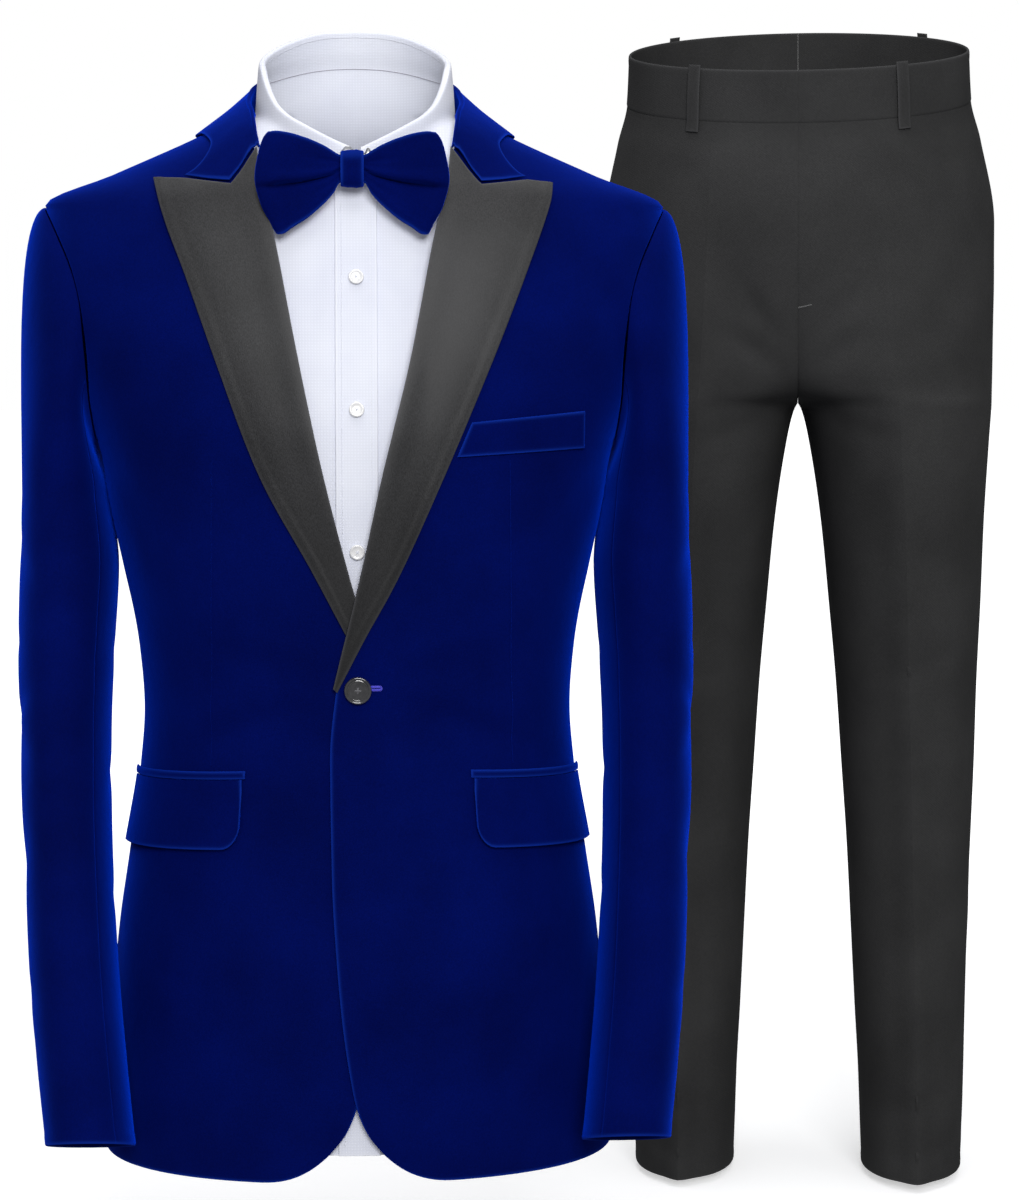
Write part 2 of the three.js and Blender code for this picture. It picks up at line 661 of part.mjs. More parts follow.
// The leaf folds over the stand and ends in a point at each side of the tie
const LEAF_FRONT = 2.5; // degrees between the leaf's front edge and the middle, at the fold
const LEAF_POINT = 26; // and at the point
const LEAF_STEPS = [0, 0.12, 0.25, 0.4, 0.55, 0.7, 0.85, 1];

function leafPoint(v, u) {
	const share = Math.max(0, (v - 0.25) / 0.75);
	const front = degToRad(lerp(LEAF_FRONT, LEAF_POINT, share));
	const angle = lerp(front, 2 * Math.PI - front, u);
	const foldAngle = lerp(degToRad(LEAF_FRONT), degToRad(360 - LEAF_FRONT), u);
	const fold = foldLevel(foldAngle);
	const turn = Math.PI / 2 * Math.min(v / 0.25, 1);
	if (share === 0) {
		return standPoint(angle, fold - LEAF_FOLD * (1 - Math.sin(turn)), LEAF_OUT - LEAF_FOLD * Math.cos(turn));
	}
	const degrees = Math.min(angle, 2 * Math.PI - angle) * 180 / Math.PI;
	const lowest = degrees > 44 ? neckLevel(angle, LEAF_OUT + LEAF_FLARE) + 3.4 : -200;
	const level = lerp(fold, Math.max(STAND.leaf(degrees), lowest), share);
	const point = standPoint(angle, level, LEAF_OUT + LEAF_FLARE * share ** 0.7);
	const shirt = bodyPoint(level - 1.5, angle, true);
	const clear = (Math.hypot(shirt.x, shirt.y) + COTTON + 2.2) / Math.hypot(point.x, point.y);
	return clear > 1 && degrees < 90 ? vec(point.x * clear, point.y * clear, level) : point;
}

add('shirt_collar_leaf', wall(LEAF_STEPS.map((v) => (
	Array.from({ length: 27 }, (_, j) => leafPoint(v, j / 26)))), COTTON), cotton);

[-135, -229, -330].forEach((level, k) => {
	addButton(`shirt_button_${k + 1}`, button(5.5, 2, 0.5, 12), pearl, 0, level, COTTON + 1, true);
});

// Bow tie: each wing is a band folded back on itself and pinched into the knot
const BOW = vec(-2.5, -98.6, -57.5);
const BOW_FORWARD = 8.5; // how far the wings' ends are in front of the knot's middle
const KNOT = { half: 8.2, height: 12.5, depth: 9.5, power: 3, bulge: 0.06 };
const WING = table(['share', 'top', 'bottom', 'half'], [
	[0, 8.4, -8.6, 3],
	[0.14, 9.8, -10, 3.6],
	[0.22, 12.5, -17.5, 4.4],
	[0.34, 16.5, -25, 5],
	[0.57, 21.8, -35.5, 5.8],
	[0.8, 25.2, -42.5, 5.6],
	[0.94, 26, -46.5, 4.8],
	[1, 25.6, -47, 3.6],
]);
const WING_START = 0.8;
const WING_SPAN = 58;

function wingRows() {
	const stops = [0, 0.13, 0.22, 0.36, 0.58, 0.8, 0.94, 1];
	const around = [...stops.map((s) => [s, -1]), ...stops.slice().reverse().map((s) => [s, 1])];
	return Array.from({ length: 7 }, (_, i) => around.map(([share, layer]) => {
		const v = i / 6;
		const end = (9.5 * Math.sin(Math.PI * Math.min(v * 1.15, 1)) - 8 * v ** 2.2) * share ** 3;
		const crease = 2.2 * Math.exp(-(((v - 0.5) / 0.16) ** 2)) * Math.sin(Math.PI * Math.min(share * 1.25, 1));
		const half = (WING.half(share) - crease) * (0.75 + 0.25 * Math.sin(Math.PI * v));
		const x = WING_START + WING_SPAN * share + end;
		const y = half * layer - BOW_FORWARD * share ** 1.3;
		return vec(x, y, lerp(WING.top(share), WING.bottom(share), v));
	}));
}

for (const [name, side] of SIDES) {
	const rows = mirrored(wingRows(), side).map((row) => row.map((p) => p.add(BOW)));
	add(`bow_wing_${name}`, wall(rows, 1.4, side), velvet);
}

// The knot is a band right round the pinched middle
function knotPoint(turn, across) {
	const bulge = 1 + KNOT.bulge * Math.cos(across * Math.PI / 2);
	const sine = Math.sin(turn);
	const cosine = Math.cos(turn);
	const sum = Math.abs(cosine / KNOT.depth) ** KNOT.power + Math.abs(sine / KNOT.height) ** KNOT.power;
	const radius = sum ** (-1 / KNOT.power);
	return vec(across * KNOT.half, -radius * cosine * bulge, radius * sine * bulge).add(BOW);
}

add('bow_knot', wall(grid(16, 2, (v, u) => {
	const turn = lerp(degToRad(178), degToRad(-178), v);
	return knotPoint(turn, lerp(-1, 1, u));
}), CLOTH), velvet);

// The neck band runs under the collar's leaf, and a steel hook at its front carries the knot
const BAND = { out: 1.6, thick: 1, height: 16, drop: 8, ends: 2.4 };
add('bow_band', wall(grid(1, 26, (v, u) => {
	const angle = lerp(degToRad(BAND.ends), degToRad(360 - BAND.ends), u);
	const top = foldLevel(angle) - BAND.drop;
	const room = top - neckLevel(angle, NECK_CLEAR) - neckRise(angle) - 2.5;
	return standPoint(angle, top - Math.min(BAND.height, room) * v, BAND.out);
}), BAND.thick), velvet);

// The steel hook that holds the knot to the band: a plate whose two humps show above the knot
const HOOK = table(['x', 'top'], [[-11, -45], [-6, -40.5], [0, -44], [6, -46.5], [9, -41.5], [11, -44]]);
const HOOK_HALF = 11;
const HOOK_FRONT = -88.1;
const HOOK_BOTTOM = -54;
add('bow_hook', wall(grid(1, 11, (v, u) => {
	const x = lerp(-HOOK_HALF, HOOK_HALF, u);
	return vec(x, HOOK_FRONT, lerp(HOOK.top(x), HOOK_BOTTOM, v));
}), 1.1), steel);

// Trousers: rounded sections of one half, whose middle moves out from the waist to the leg's own middle.
// Above the crotch the plane between the halves cuts them, and the cut ends draw together into its seam.
const TROUSERS = table(['level', 'middle', 'outer', 'front', 'back', 'crease', 'ridge'], [
	[80, 0, 149, 102, 114, 72, 0],
	[34, 0, 151.5, 105, 117, 73, 0],
	[0, 3, 160, 109, 121, 74, 0.5],
	[-75, 8, 172.5, 114, 128, 76, 2],
	[-150, 24, 172, 116, 131, 79, 3.5],
	[-200, 48, 171.6, 115, 128, 82, 4],
	[-222, 68, 171.2, 112.5, 123, 84, 4.3],
	[-233, 86.2, 171, 111, 121, 86, 4.5],
	[-265, 89.4, 169, 107, 113, 88, 5],
	[-336, 92.7, 164.9, 98, 104, 92, 5.5],
	[-408, 95, 162.4, 89, 95, 94.5, 6],
	[-481, 96.7, 159.2, 83, 88, 96.5, 6],
	[-553, 98.2, 157.3, 79, 83, 98.5, 6],
	[-626, 99.3, 154.5, 77, 80, 100, 6],
	[-700, 100, 152.1, 75, 77, 101.5, 6.5],
	[-773, 101, 150.5, 74, 75, 103, 6.5],
	[-847, 102.3, 149.2, 73, 74, 104.5, 7],
	[-925, 102.5, 146.8, 73, 74, 105, 7],
]);
const LEG_LEVELS = [WAIST_SEAM - 0.5, -5, -60, -115, -165, -198, -215, -225, -230.5, -233.4, -262, -310,
	-370, -440, -520, -610, -710, -810, TROUSER_HEM];
const WAIST_TILT = 0.25;

// The angle is 0 at the outside of the leg and 90 degrees at the front
function legPoint(level, angle, out) {
	const middle = TROUSERS.middle(level);
	const half = TROUSERS.outer(level) - middle;
	const front = Math.sin(angle) >= 0;
	const depth = front ? TROUSERS.front(level) : TROUSERS.back(level);
	const crease = Math.acos(clamp((TROUSERS.crease(level) - middle) / half, -1, 1));
	const near = Math.exp(-(((Math.abs(angle) - crease) / 0.22) ** 2));
	const lift = out + TROUSERS.ridge(level) * near;
	const normal = vec(Math.cos(angle) / half, -Math.sin(angle) / depth, 0).normalize();
	const point = vec(middle + half * Math.cos(angle), -depth * Math.sin(angle), level);
	point.addScaledVector(normal, lift);
	point.z += WAIST_TILT * point.y * smoothstep(level, -90, WAIST_SEAM);
	point.x = Math.max(point.x, SEAM / 2);
	return point;
}

function creaseAngle(level) {
	const middle = TROUSERS.middle(level);
	const half = TROUSERS.outer(level) - middle;
	return Math.acos(clamp((TROUSERS.crease(level) - middle) / half, -1, 1));
}

// The angle where the half ends: on the plane between the halves, or on the inside of the leg
function innerAngle(level) {
	const middle = TROUSERS.middle(level);
	const half = TROUSERS.outer(level) - middle;
	const share = (SEAM / 2 - middle) / half;
	return share <= -1 ? Math.PI - SEAM / TROUSERS.front(level) : Math.acos(share);
}

function legRows(direction) {
	return LEG_LEVELS.map((level) => {
		const gap = SEAM / TROUSERS.front(level);
		const crease = creaseAngle(level);
		const stops = [0, 0.36, 0.7, 0.88, 1].map((s) => lerp(gap, crease, s));
		const rest = [0.12, 0.3, 0.64, 1].map((s) => lerp(crease, innerAngle(level), s));
		const row = [...stops, ...rest].map((angle) => legPoint(level, angle * direction, 0));
		return direction > 0 ? row.reverse() : row;
	});
}

function waistbandRows() {
	return grid(2, 16, (v, u) => {
		const level = lerp(WAIST_TOP, WAIST_SEAM + SEAM, v);
		const end = Math.acos(SEAM / 2 / TROUSERS.outer(level));
		return legPoint(level, lerp(end, -end, u), 0.5);
	});
}

function loopRows(angle) {
	return grid(4, 1, (v, u) => {
		const level = lerp(WAIST_TOP + 3, WAIST_SEAM - 10, v);
		const bow = 1.6 * Math.sin(Math.PI * v);
		return legPoint(level, degToRad(angle) - (u - 0.5) * 0.083, CLOTH + 1 + bow);
	});
}

const trousers = new THREE.Group();
trousers.position.copy(TROUSERS_AT);
trousers.rotation.set(0, TROUSERS_LEAN, TROUSERS_TURN);
suit.add(trousers);
for (const [name, side] of SIDES) {
	add(`trouser_front_${name}`, wall(mirrored(legRows(1), side), CLOTH, side), wool, trousers);
	add(`trouser_back_${name}`, wall(mirrored(legRows(-1), side), CLOTH, side), wool, trousers);
	add(`waistband_${name}`, wall(mirrored(waistbandRows(), side), 2.2, side), wool, trousers);
	add(`belt_loop_front_${name}`, wall(mirrored(loopRows(54), side), 1.4, side), wool, trousers);
	add(`belt_loop_back_${name}`, wall(mirrored(loopRows(-42), side), 1.4, side), wool, trousers);
}

export default suit;
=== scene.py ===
"""The looks of the tuxedo: velvet jacket with satin lapels, dress shirt, bow tie and wool trousers.

Each piece of cloth is a closed thin shell on the form of its solid, worked out in millimetres from the same
sizes as the CAD, with its creases, rounded edges and seams. Coordinates are those of the frame.
"""

import math

import bpy
import numpy as np
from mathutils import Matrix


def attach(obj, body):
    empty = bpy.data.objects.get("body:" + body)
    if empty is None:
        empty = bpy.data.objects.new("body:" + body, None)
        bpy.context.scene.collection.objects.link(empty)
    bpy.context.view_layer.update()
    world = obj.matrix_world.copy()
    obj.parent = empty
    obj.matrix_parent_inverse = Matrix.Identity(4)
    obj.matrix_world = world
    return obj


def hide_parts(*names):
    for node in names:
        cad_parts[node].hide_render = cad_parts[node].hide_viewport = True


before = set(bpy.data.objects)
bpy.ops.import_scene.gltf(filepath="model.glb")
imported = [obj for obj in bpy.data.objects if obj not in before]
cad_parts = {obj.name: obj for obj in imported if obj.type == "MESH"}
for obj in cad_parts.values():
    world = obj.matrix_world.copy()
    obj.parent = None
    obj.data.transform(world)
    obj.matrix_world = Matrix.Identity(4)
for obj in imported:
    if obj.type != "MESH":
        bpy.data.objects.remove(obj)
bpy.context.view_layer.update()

# Driving dimensions in millimetres
CLOTH = 1.6  # wall of the velvet, the satin and the trousers' wool
COTTON = 1.3  # wall of the shirt
BOW_CLOTH = 1.4  # wall of the bow's wings
WAISTBAND = 2.2  # wall of the waistband
LOOP = 1.4  # wall of a belt loop
HOOK_STEEL = 1.1  # thickness of the bow's hook
SEAM = 0.06  # gap between two pieces that are sewn together
ALLOWANCE = 1.4  # how far a seam's inner face reaches under its neighbour
JACKET_TOP = -12
JACKET_HEM = -785
SHOULDER_TIP = -80
ARMPIT = -254
ARMHOLE_REACH = 76  # half of the armhole, front to back
NAPE_RISE = 20  # how far the back of the neck is above its sides
LAP = 2.7  # how far the left front stands off the right one that it covers
CUFF = -760
SHIRT_INSET = 6.5  # shirt inside the jacket, sideways
SHIRT_DROP = 7  # and downwards
SHIRT_TOP = -18
SHIRT_HEM = -766
PLACKET_HALF = 15
TROUSERS_AT = (392, 393, 0)
TROUSERS_TURN = -0.15  # radians about the vertical
TROUSERS_LEAN = -0.0073  # and sideways
TROUSER_HEM = -920
WAIST_SEAM = 34.5  # level of the waistband's lower edge, at the sides
WAIST_TOP = 78.3
WAIST_TILT = 0.25
FLOOR = -927

# Spacing of the shells' points
STEP = 4.5
COARSE_STEP = 7
EDGE_STEPS = np.array([0, 0.3, 0.7, 1.2, 1.9, 3.0])

SIDES = (("left", 1), ("right", -1))


def smoothstep(x, low, high):
    share = np.clip((x - low) / (high - low), 0, 1)
    return share * share * (3 - 2 * share)


def lerp(a, b, share):
    return a + (b - a) * share


def vec(x, y, z):
    return np.stack(np.broadcast_arrays(x, y, z), -1).astype(float)


def unit(v):
    return v / np.maximum(np.linalg.norm(v, axis=-1, keepdims=True), 1e-9)


def column(at, values):
    """A cubic through every value that never overshoots between two of them."""
    at, values = np.array(at, float), np.array(values, float)
    if at[0] > at[-1]:
        at, values = at[::-1], values[::-1]
    secants = np.diff(values) / np.diff(at)
    total = secants[:-1] + secants[1:]
    product = secants[:-1] * secants[1:]
    inner = np.where(product > 0, 2 * product / np.where(total == 0, 1, total), 0)
    slopes = np.concatenate([secants[:1], inner, secants[-1:]])

    def value(where):
        where = np.clip(where, at[0], at[-1])
        k = np.clip(np.searchsorted(at, where, side="right") - 1, 0, len(at) - 2)
        step = at[k + 1] - at[k]
        t = (where - at[k]) / step
        start = (2 * t**3 - 3 * t**2 + 1) * values[k] + (t**3 - 2 * t**2 + t) * slopes[k] * step
        end = (3 * t**2 - 2 * t**3) * values[k + 1] + (t**3 - t**2) * slopes[k + 1] * step
        return start + end

    return value


def table(names, rows):
    """Rows of numbers, one a section, whose columns become smooth functions of the first one."""
    columns = list(zip(*rows))
    return {name: column(columns[0], values) for name, values in zip(names.split()[1:], columns[1:])}


# Level sections of the jacket's body
BODY = table("level half front back power", [
    (-4, 62, 58, 68, 2),
    (-12, 82, 68, 80, 2),
    (-33, 126, 77, 92, 2.1),
    (-57, 180, 87, 104, 2.3),
    (-80, 230, 97, 113, 2.5),
    (-110, 229, 106, 122, 2.8),
    (-165, 221, 118, 130, 2.9),
    (-215, 207, 127, 131, 2.7),
    (-254, 193, 131, 128, 2.5),
    (-300, 184, 132, 121, 2.35),
    (-347, 175, 131, 113, 2.3),
    (-407, 163.5, 128, 106, 2.25),
    (-453, 160.5, 126, 104, 2.25),
    (-498, 164, 128, 110, 2.25),
    (-558, 172, 132, 122, 2.3),
    (-619, 180, 136, 132, 2.3),
    (-700, 187.5, 139, 137, 2.3),
    (-800, 193.5, 140, 139, 2.3),
])

# Where each front ends towards the middle
FRONT_EDGE = table("level left right", [
    (-12, 78, 79),
    (-25, 75, 76.5),
    (-42, 71.2, 73),
    (-75, 66, 67.5),
    (-104, 58, 60),
    (-140, 49.5, 51.5),
    (-194, 39.5, 42.5),
    (-278, 18.5, 24.5),
    (-343, 4.5, 8.5),
    (-384, -5.5, -3),
    (-430, -15.5, -11),
    (-479, -20, -14),
    (-566, -19, -14),
    (-623, -16, -12),
    (-669, -12, -8),
    (-705, -7, -3),
    (-730, -2, 2),
    (-749, 6, 10),
    (-763, 17, 21),
])
CORNER_RISE = 22
CORNER_START = -640


def body_section(level, shirt):
    at = level + SHIRT_DROP if shirt else level
    inset = SHIRT_INSET if shirt else 0
    return (BODY["half"](at) - inset, BODY["front"](at) - inset, BODY["back"](at) - inset * 1.2,
            BODY["power"](at))


def body_point(level, angle, shirt=False):
    """0 is the centre front, a quarter turn the wearer's left, a half turn the centre back."""
    level, angle = np.broadcast_arrays(np.asarray(level, float), np.asarray(angle, float))
    half, front, back, power = body_section(level, shirt)
    sine, cosine = np.sin(angle), np.cos(angle)
    depth = np.where(cosine > 0, front, back)
    radius = (np.abs(sine / half) ** power + np.abs(cosine / depth) ** power) ** (-1 / power)
    at = level + SHIRT_DROP if shirt else level
    nape = NAPE_RISE * np.maximum(0, -cosine) ** 2 * smoothstep(at, -130, -8)
    return vec(radius * sine, -radius * cosine, level + nape)


def body_lifted(level, angle, lift, shirt=False):
    across = body_point(level, angle + 0.01, shirt) - body_point(level, angle - 0.01, shirt)
    up = body_point(level + 0.5, angle, shirt) - body_point(level - 0.5, angle, shirt)
    return body_point(level, angle, shirt) + unit(np.cross(across, up)) * np.asarray(lift)[..., None]


def front_angle(x, level, shirt=False):
    half, front, _, power = body_section(np.asarray(level, float), shirt)
    share = np.minimum(np.abs(x) / half, 0.99999)
    return np.arctan2(x, front * (1 - share**power) ** (1 / power))


def on_front(x, level, lift, shirt=False):
    x, level, lift = (np.asarray(value, float) for value in (x, level, lift))
    return body_lifted(level, front_angle(x, level, shirt), lift, shirt)


def armhole_reach(level):
    middle = (SHOULDER_TIP + ARMPIT) / 2
    height = (SHOULDER_TIP - ARMPIT) / 2
    return ARMHOLE_REACH * np.sqrt(np.maximum(0, 1 - ((level - middle) / height) ** 2))


def side_angle(level, back, shirt=False):
    half, front, behind, power = body_section(level, shirt)
    depth = behind if back else front
    reach = np.maximum(armhole_reach(level), SEAM / 2)
    width = half * (1 - (reach / depth) ** power) ** (1 / power)
    return np.arctan2(width, -reach if back else reach)


def stops(length, step=STEP):
    """Shares of a length: close together at both ends, where edges turn over, and even between."""
    if length < 18:
        return (1 - np.cos(math.pi * np.linspace(0, 1, 9))) / 2
    count = max(2, round((length - 10) / step) + 1)
    middle = np.linspace(5, length - 5, count)
    return np.concatenate([EDGE_STEPS, middle, length - EDGE_STEPS[::-1]]) / length


def tangents(points):
    """Directions along the first axis of a grid, true to the second order where the steps are uneven."""
    steps = np.diff(points, axis=0)
    lengths = np.maximum(np.linalg.norm(steps, axis=-1, keepdims=True), 1e-6)
    slopes = steps / lengths
    inner = (slopes[:-1] * lengths[1:] + slopes[1:] * lengths[:-1]) / (lengths[:-1] + lengths[1:])
    return np.concatenate([2 * slopes[:1] - inner[:1], inner, 2 * slopes[-1:] - inner[-1:]])


def normals(points):
    down = tangents(points)
    right = np.swapaxes(tangents(np.swapaxes(points, 0, 1)), 0, 1)
    return unit(np.cross(down, right))


def run(points, axis):
    """Distance along the lines of a grid, in that axis, from their start."""
    steps = np.linalg.norm(np.diff(points, axis=axis), axis=-1)
    return np.insert(np.cumsum(steps, axis=axis), 0, 0, axis=axis)


def edge_profile(points, edges, thickness):
    """How far the outer face drops and the inner one rises near each edge, and how strong the painted
    highlight along a folded edge is.

    edges says for the top, bottom, left and right whether it is a fold, a seam, a fine seam or plain. At a
    taper the inner face comes out to the outer one, and at a thin edge the outer face goes in to the inner.
    """
    rows, columns = run(points, 0), run(points, 1)
    distances = (rows, rows[-1:] - rows, columns, columns[:, -1:] - columns)
    outer, inner, shine = (np.zeros(points.shape[:2]) for _ in range(3))
    for kind, distance in zip(edges, distances):
        turn = 1 - np.minimum(distance / (thickness * 0.9), 1)
        rounding = thickness * 0.44 * (1 - np.sqrt(np.maximum(0, 1 - turn**2)))
        if kind == "fold":
            allowance = 0.35 * (1 - smoothstep(distance, 6, 9))
            outer = np.maximum(outer, rounding) - allowance * (outer <= rounding)
            inner = np.maximum(inner, rounding)
            # Painted highlight strength along a folded edge.
            shine = np.maximum(shine, np.exp(-((distance / 1.5) ** 2)))
        if kind == "seam":
            outer = outer + 0.5 * np.exp(-((distance / 1.1) ** 2))
            outer = outer - 0.15 * np.exp(-(((distance - 3.6) / 2.2) ** 2))
        if kind == "fine":
            outer = outer + 0.28 * np.exp(-((distance / 0.8) ** 2))
        if kind == "thin":
            outer = np.maximum(outer, (thickness - 0.15) * (1 - smoothstep(distance, 0, 9)))
        if kind == "taper":
            inner = np.maximum(inner, (thickness - 0.15) * (1 - smoothstep(distance, 0, 14)))
    return outer, inner, shine


def tuck_under(inner, edges):
    """Seam allowances: at each seam the inner face reaches a little under the neighbour."""
    rims = (np.s_[0], np.s_[-1], np.s_[:, 0], np.s_[:, -1])
    neighbours = (np.s_[1], np.s_[-2], np.s_[:, 1], np.s_[:, -2])
    for kind, rim, next_in in zip(edges, rims, neighbours):
        if kind in ("seam", "fine"):
            inner[rim] = inner[rim] + unit(inner[rim] - inner[next_in]) * ALLOWANCE


def fold_relief(across, level, folds):
    """Soft troughs, each with a ridge beside it: start, end, depth, width and sideways bend."""
    total = np.zeros(np.broadcast(across, level).shape)
    for x0, z0, x1, z1, depth, width, bend in folds:
        length = math.hypot(x1 - x0, z1 - z0)
        dx, dz = (x1 - x0) / length, (z1 - z0) / length
        along = ((across - x0) * dx + (level - z0) * dz) / length
        away = ((across - x0) * -dz + (level - z0) * dx) - bend * 4 * along * (1 - along)
        fade = np.exp(-(np.abs((along - 0.5) / 0.47) ** 3.5))
        ridge = 0.6 * np.exp(-(((away - 1.7 * width) / (1.1 * width)) ** 2))
        total += depth * fade * (ridge - np.exp(-((away / width) ** 2)))
    return total


def shell_faces(down, across):
    """Faces of a closed shell between two grids of points, of which the first is the visible one."""
    count = down * across
    index = np.arange(count).reshape(down, across)
    a, b, c, d = index[:-1, :-1], index[1:, :-1], index[1:, 1:], index[:-1, 1:]
    visible = np.stack([a, b, c, d], -1).reshape(-1, 4)
    hidden = np.stack([a, d, c, b], -1).reshape(-1, 4) + count
    rim = np.concatenate([index[0], index[1:, -1], index[-1, -2::-1], index[-2:0:-1, 0]])
    turned = np.roll(rim, -1)
    edge = np.stack([rim, turned, turned + count, rim + count], -1)
    return np.concatenate([visible, hidden, edge])


def write_attribute(piece, name, values):
    """A number for each point of a shell, at full strength on its visible face."""
    attribute = piece.data.attributes.new(name, "FLOAT", "POINT")
    attribute.data.foreach_set("value", np.concatenate([values.ravel(), values.ravel() * 0.3]))


def cloth(name, points, thickness, finish, *, node, edges, side=1, relief=None, move=None,
          trim=False, meets=None, painted_crease_shade=None, light=None):
    """A closed shell behind a grid of points: rows run down, columns to the right from the visible side.

    trim changes nothing: the piece is returned either way. Points that lie nearer than meets to the middle
    plane stay there, so that both halves close on each other. The grids of shade and light say, from 0 to
    1, where shade is painted into a crease and where a highlight is painted on the pile.
    """
    held_x = points[..., 0].copy()
    face = normals(points)
    if relief is not None:
        points = points + face * relief[..., None]
        face = normals(points)
    drop, rise, shine = edge_profile(points, edges, thickness)
    outer = points - face * drop[..., None]
    inner = points - face * (thickness - rise)[..., None]
    tuck_under(inner, edges)
    if meets is not None:
        for layer in (outer, inner):
            layer[..., 0] = np.where(held_x <= meets, held_x, np.maximum(layer[..., 0], meets))
    vertices = np.concatenate([outer.reshape(-1, 3), inner.reshape(-1, 3)])
    vertices[:, 0] *= side
    faces = shell_faces(*points.shape[:2])
    if side < 0:
        faces = faces[:, ::-1]
    if move is not None:
        vertices = move(vertices)
    piece = mesh_piece(name, vertices, faces, finish)
    # The edge attribute carries painted highlights: along folded edges, and where the light grid adds more.
    write_attribute(piece, "edge", shine if light is None else np.maximum(shine, light))
    # Painted shade in creases, where that grid is given.
    if painted_crease_shade is not None:
        write_attribute(piece, "painted_crease_shade", painted_crease_shade)
    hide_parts(node)
    if trim:
        return piece
    return piece


def riding(name, data):
    """An object that rides on the garment."""
    piece = bpy.data.objects.new(name, data)
    bpy.context.scene.collection.objects.link(piece)
    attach(piece, "root")
    return piece


def mesh_piece(name, vertices, faces, finish, smooth_angle=50):
    """A mesh from points in millimetres."""
    data = bpy.data.meshes.new(name)
    data.from_pydata((np.asarray(vertices) / 1000).tolist(), [], [list(map(int, f)) for f in faces])
    data.polygons.foreach_set("use_smooth", [True] * len(data.polygons))
    data.set_sharp_from_angle(angle=math.radians(smooth_angle))
    data.materials.append(finish)
    return riding(name, data)


def thread_piece(name, paths, radius, finish, move=None):
    """Round threads along lists of points in millimetres."""
    data = bpy.data.curves.new(name, "CURVE")
    data.dimensions = "3D"
    data.bevel_depth = radius / 1000
    data.bevel_resolution = 1
    data.use_fill_caps = True
    for path in paths:
        points = move(np.asarray(path)) if move else np.asarray(path)
        spline = data.splines.new("POLY")
        spline.points.add(len(points) - 1)
        spline.points.foreach_set("co", np.c_[points / 1000, np.ones(len(points))].ravel())
    data.materials.append(finish)
    return riding(name, data)


def stitches(path, length=2.4, gap=1.0):
    """Short straight paths along a line of points, as a running stitch leaves them."""
    path = np.asarray(path)
    at = np.insert(np.cumsum(np.linalg.norm(np.diff(path, axis=0), axis=1)), 0, 0)
    starts = np.arange(0, at[-1] - length, length + gap)
    ends = np.stack([starts, starts + length / 2, starts + length], 1)
    return [np.stack([np.interp(row, at, path[:, k]) for k in range(3)], 1) for row in ends]


class Finish:
    """A principled material, and nodes in the object's own metres that vary it over the surface."""

    def __init__(self, name, **values):
        self.material = bpy.data.materials.new(name)
        self.material.use_nodes = True
        self.tree = self.material.node_tree
        self.shader = self.tree.nodes["Principled BSDF"]
        for socket, value in values.items():
            self.shader.inputs[socket.replace("_", " ")].default_value = value
        self.place = self.tree.nodes.new("ShaderNodeTexCoord").outputs["Object"]

    def node(self, kind, inputs=None, **settings):
        made = self.tree.nodes.new("ShaderNode" + kind)
        for key, value in settings.items():
            setattr(made, key, value)
        for key, value in (inputs or {}).items():
            if isinstance(value, bpy.types.NodeSocket):
                self.tree.links.new(value, made.inputs[key])
            else:
                made.inputs[key].default_value = value
        return made

    def noise(self, size, detail=3, stretch=None):
        """Noise whose spots are about size millimetres across, 0 to 1."""
        place = self.place
        if stretch:
            place = self.node("Mapping", {"Vector": place, "Scale": stretch}).outputs[0]
        return self.node("TexNoise", {"Vector": place, "Scale": 1000 / size, "Detail": detail}).outputs[0]

    def bands(self, size, direction, turn=(0, 0, 0)):
        """Lines that are size millimetres apart."""
        place = self.node("Mapping", {"Vector": self.place, "Rotation": turn}).outputs[0]
        made = self.node("TexWave", {"Vector": place, "Scale": 1000 / size / (2 * math.pi),
                                     "Distortion": 0.6, "Detail": 1}, bands_direction=direction)
        return made.outputs["Fac"]

    def ramp(self, factor, *colours):
        """Colours at their places between 0 and 1."""
        made = self.node("ValToRGB", {"Fac": factor})
        places = made.color_ramp.elements
        for k, (where, colour) in enumerate(colours):
            element = places[k] if k < 2 else places.new(where)
            element.position = where
            element.color = (*colour, 1)
        return made.outputs[0]

    def greys(self, factor, *values):
        return self.ramp(factor, *((where, (value,) * 3) for where, value in values))

    def mix(self, factor, a, b, kind="MIX"):
        return self.node("MixRGB", {"Fac": factor, "Color1": a, "Color2": b}, blend_type=kind).outputs[0]

    def multiply(self, a, b):
        return self.mix(1.0, a, b, "MULTIPLY")

    def toward(self, attribute, share, base, colour):
        """The base, and that share of another colour where the piece's attribute is 1."""
        where = self.node("Attribute", attribute_name=attribute).outputs["Fac"]
        return self.mix(self.math("MULTIPLY", where, share), base, (*colour, 1))

    def math(self, operation, a, b):
        return self.node("Math", {0: a, 1: b}, operation=operation).outputs[0]

    def colour(self, socket):
        self.tree.links.new(socket, self.shader.inputs["Base Color"])

    def rough(self, factor, low, high):
        made = self.node("MapRange", {"Value": factor, "To Min": low, "To Max": high})
        self.tree.links.new(made.outputs[0], self.shader.inputs["Roughness"])

    def bump(self, height, distance, strength=1.0):
        made = self.node("Bump", {"Height": height, "Distance": distance / 1000, "Strength": strength})
        self.tree.links.new(made.outputs[0], self.shader.inputs["Normal"])


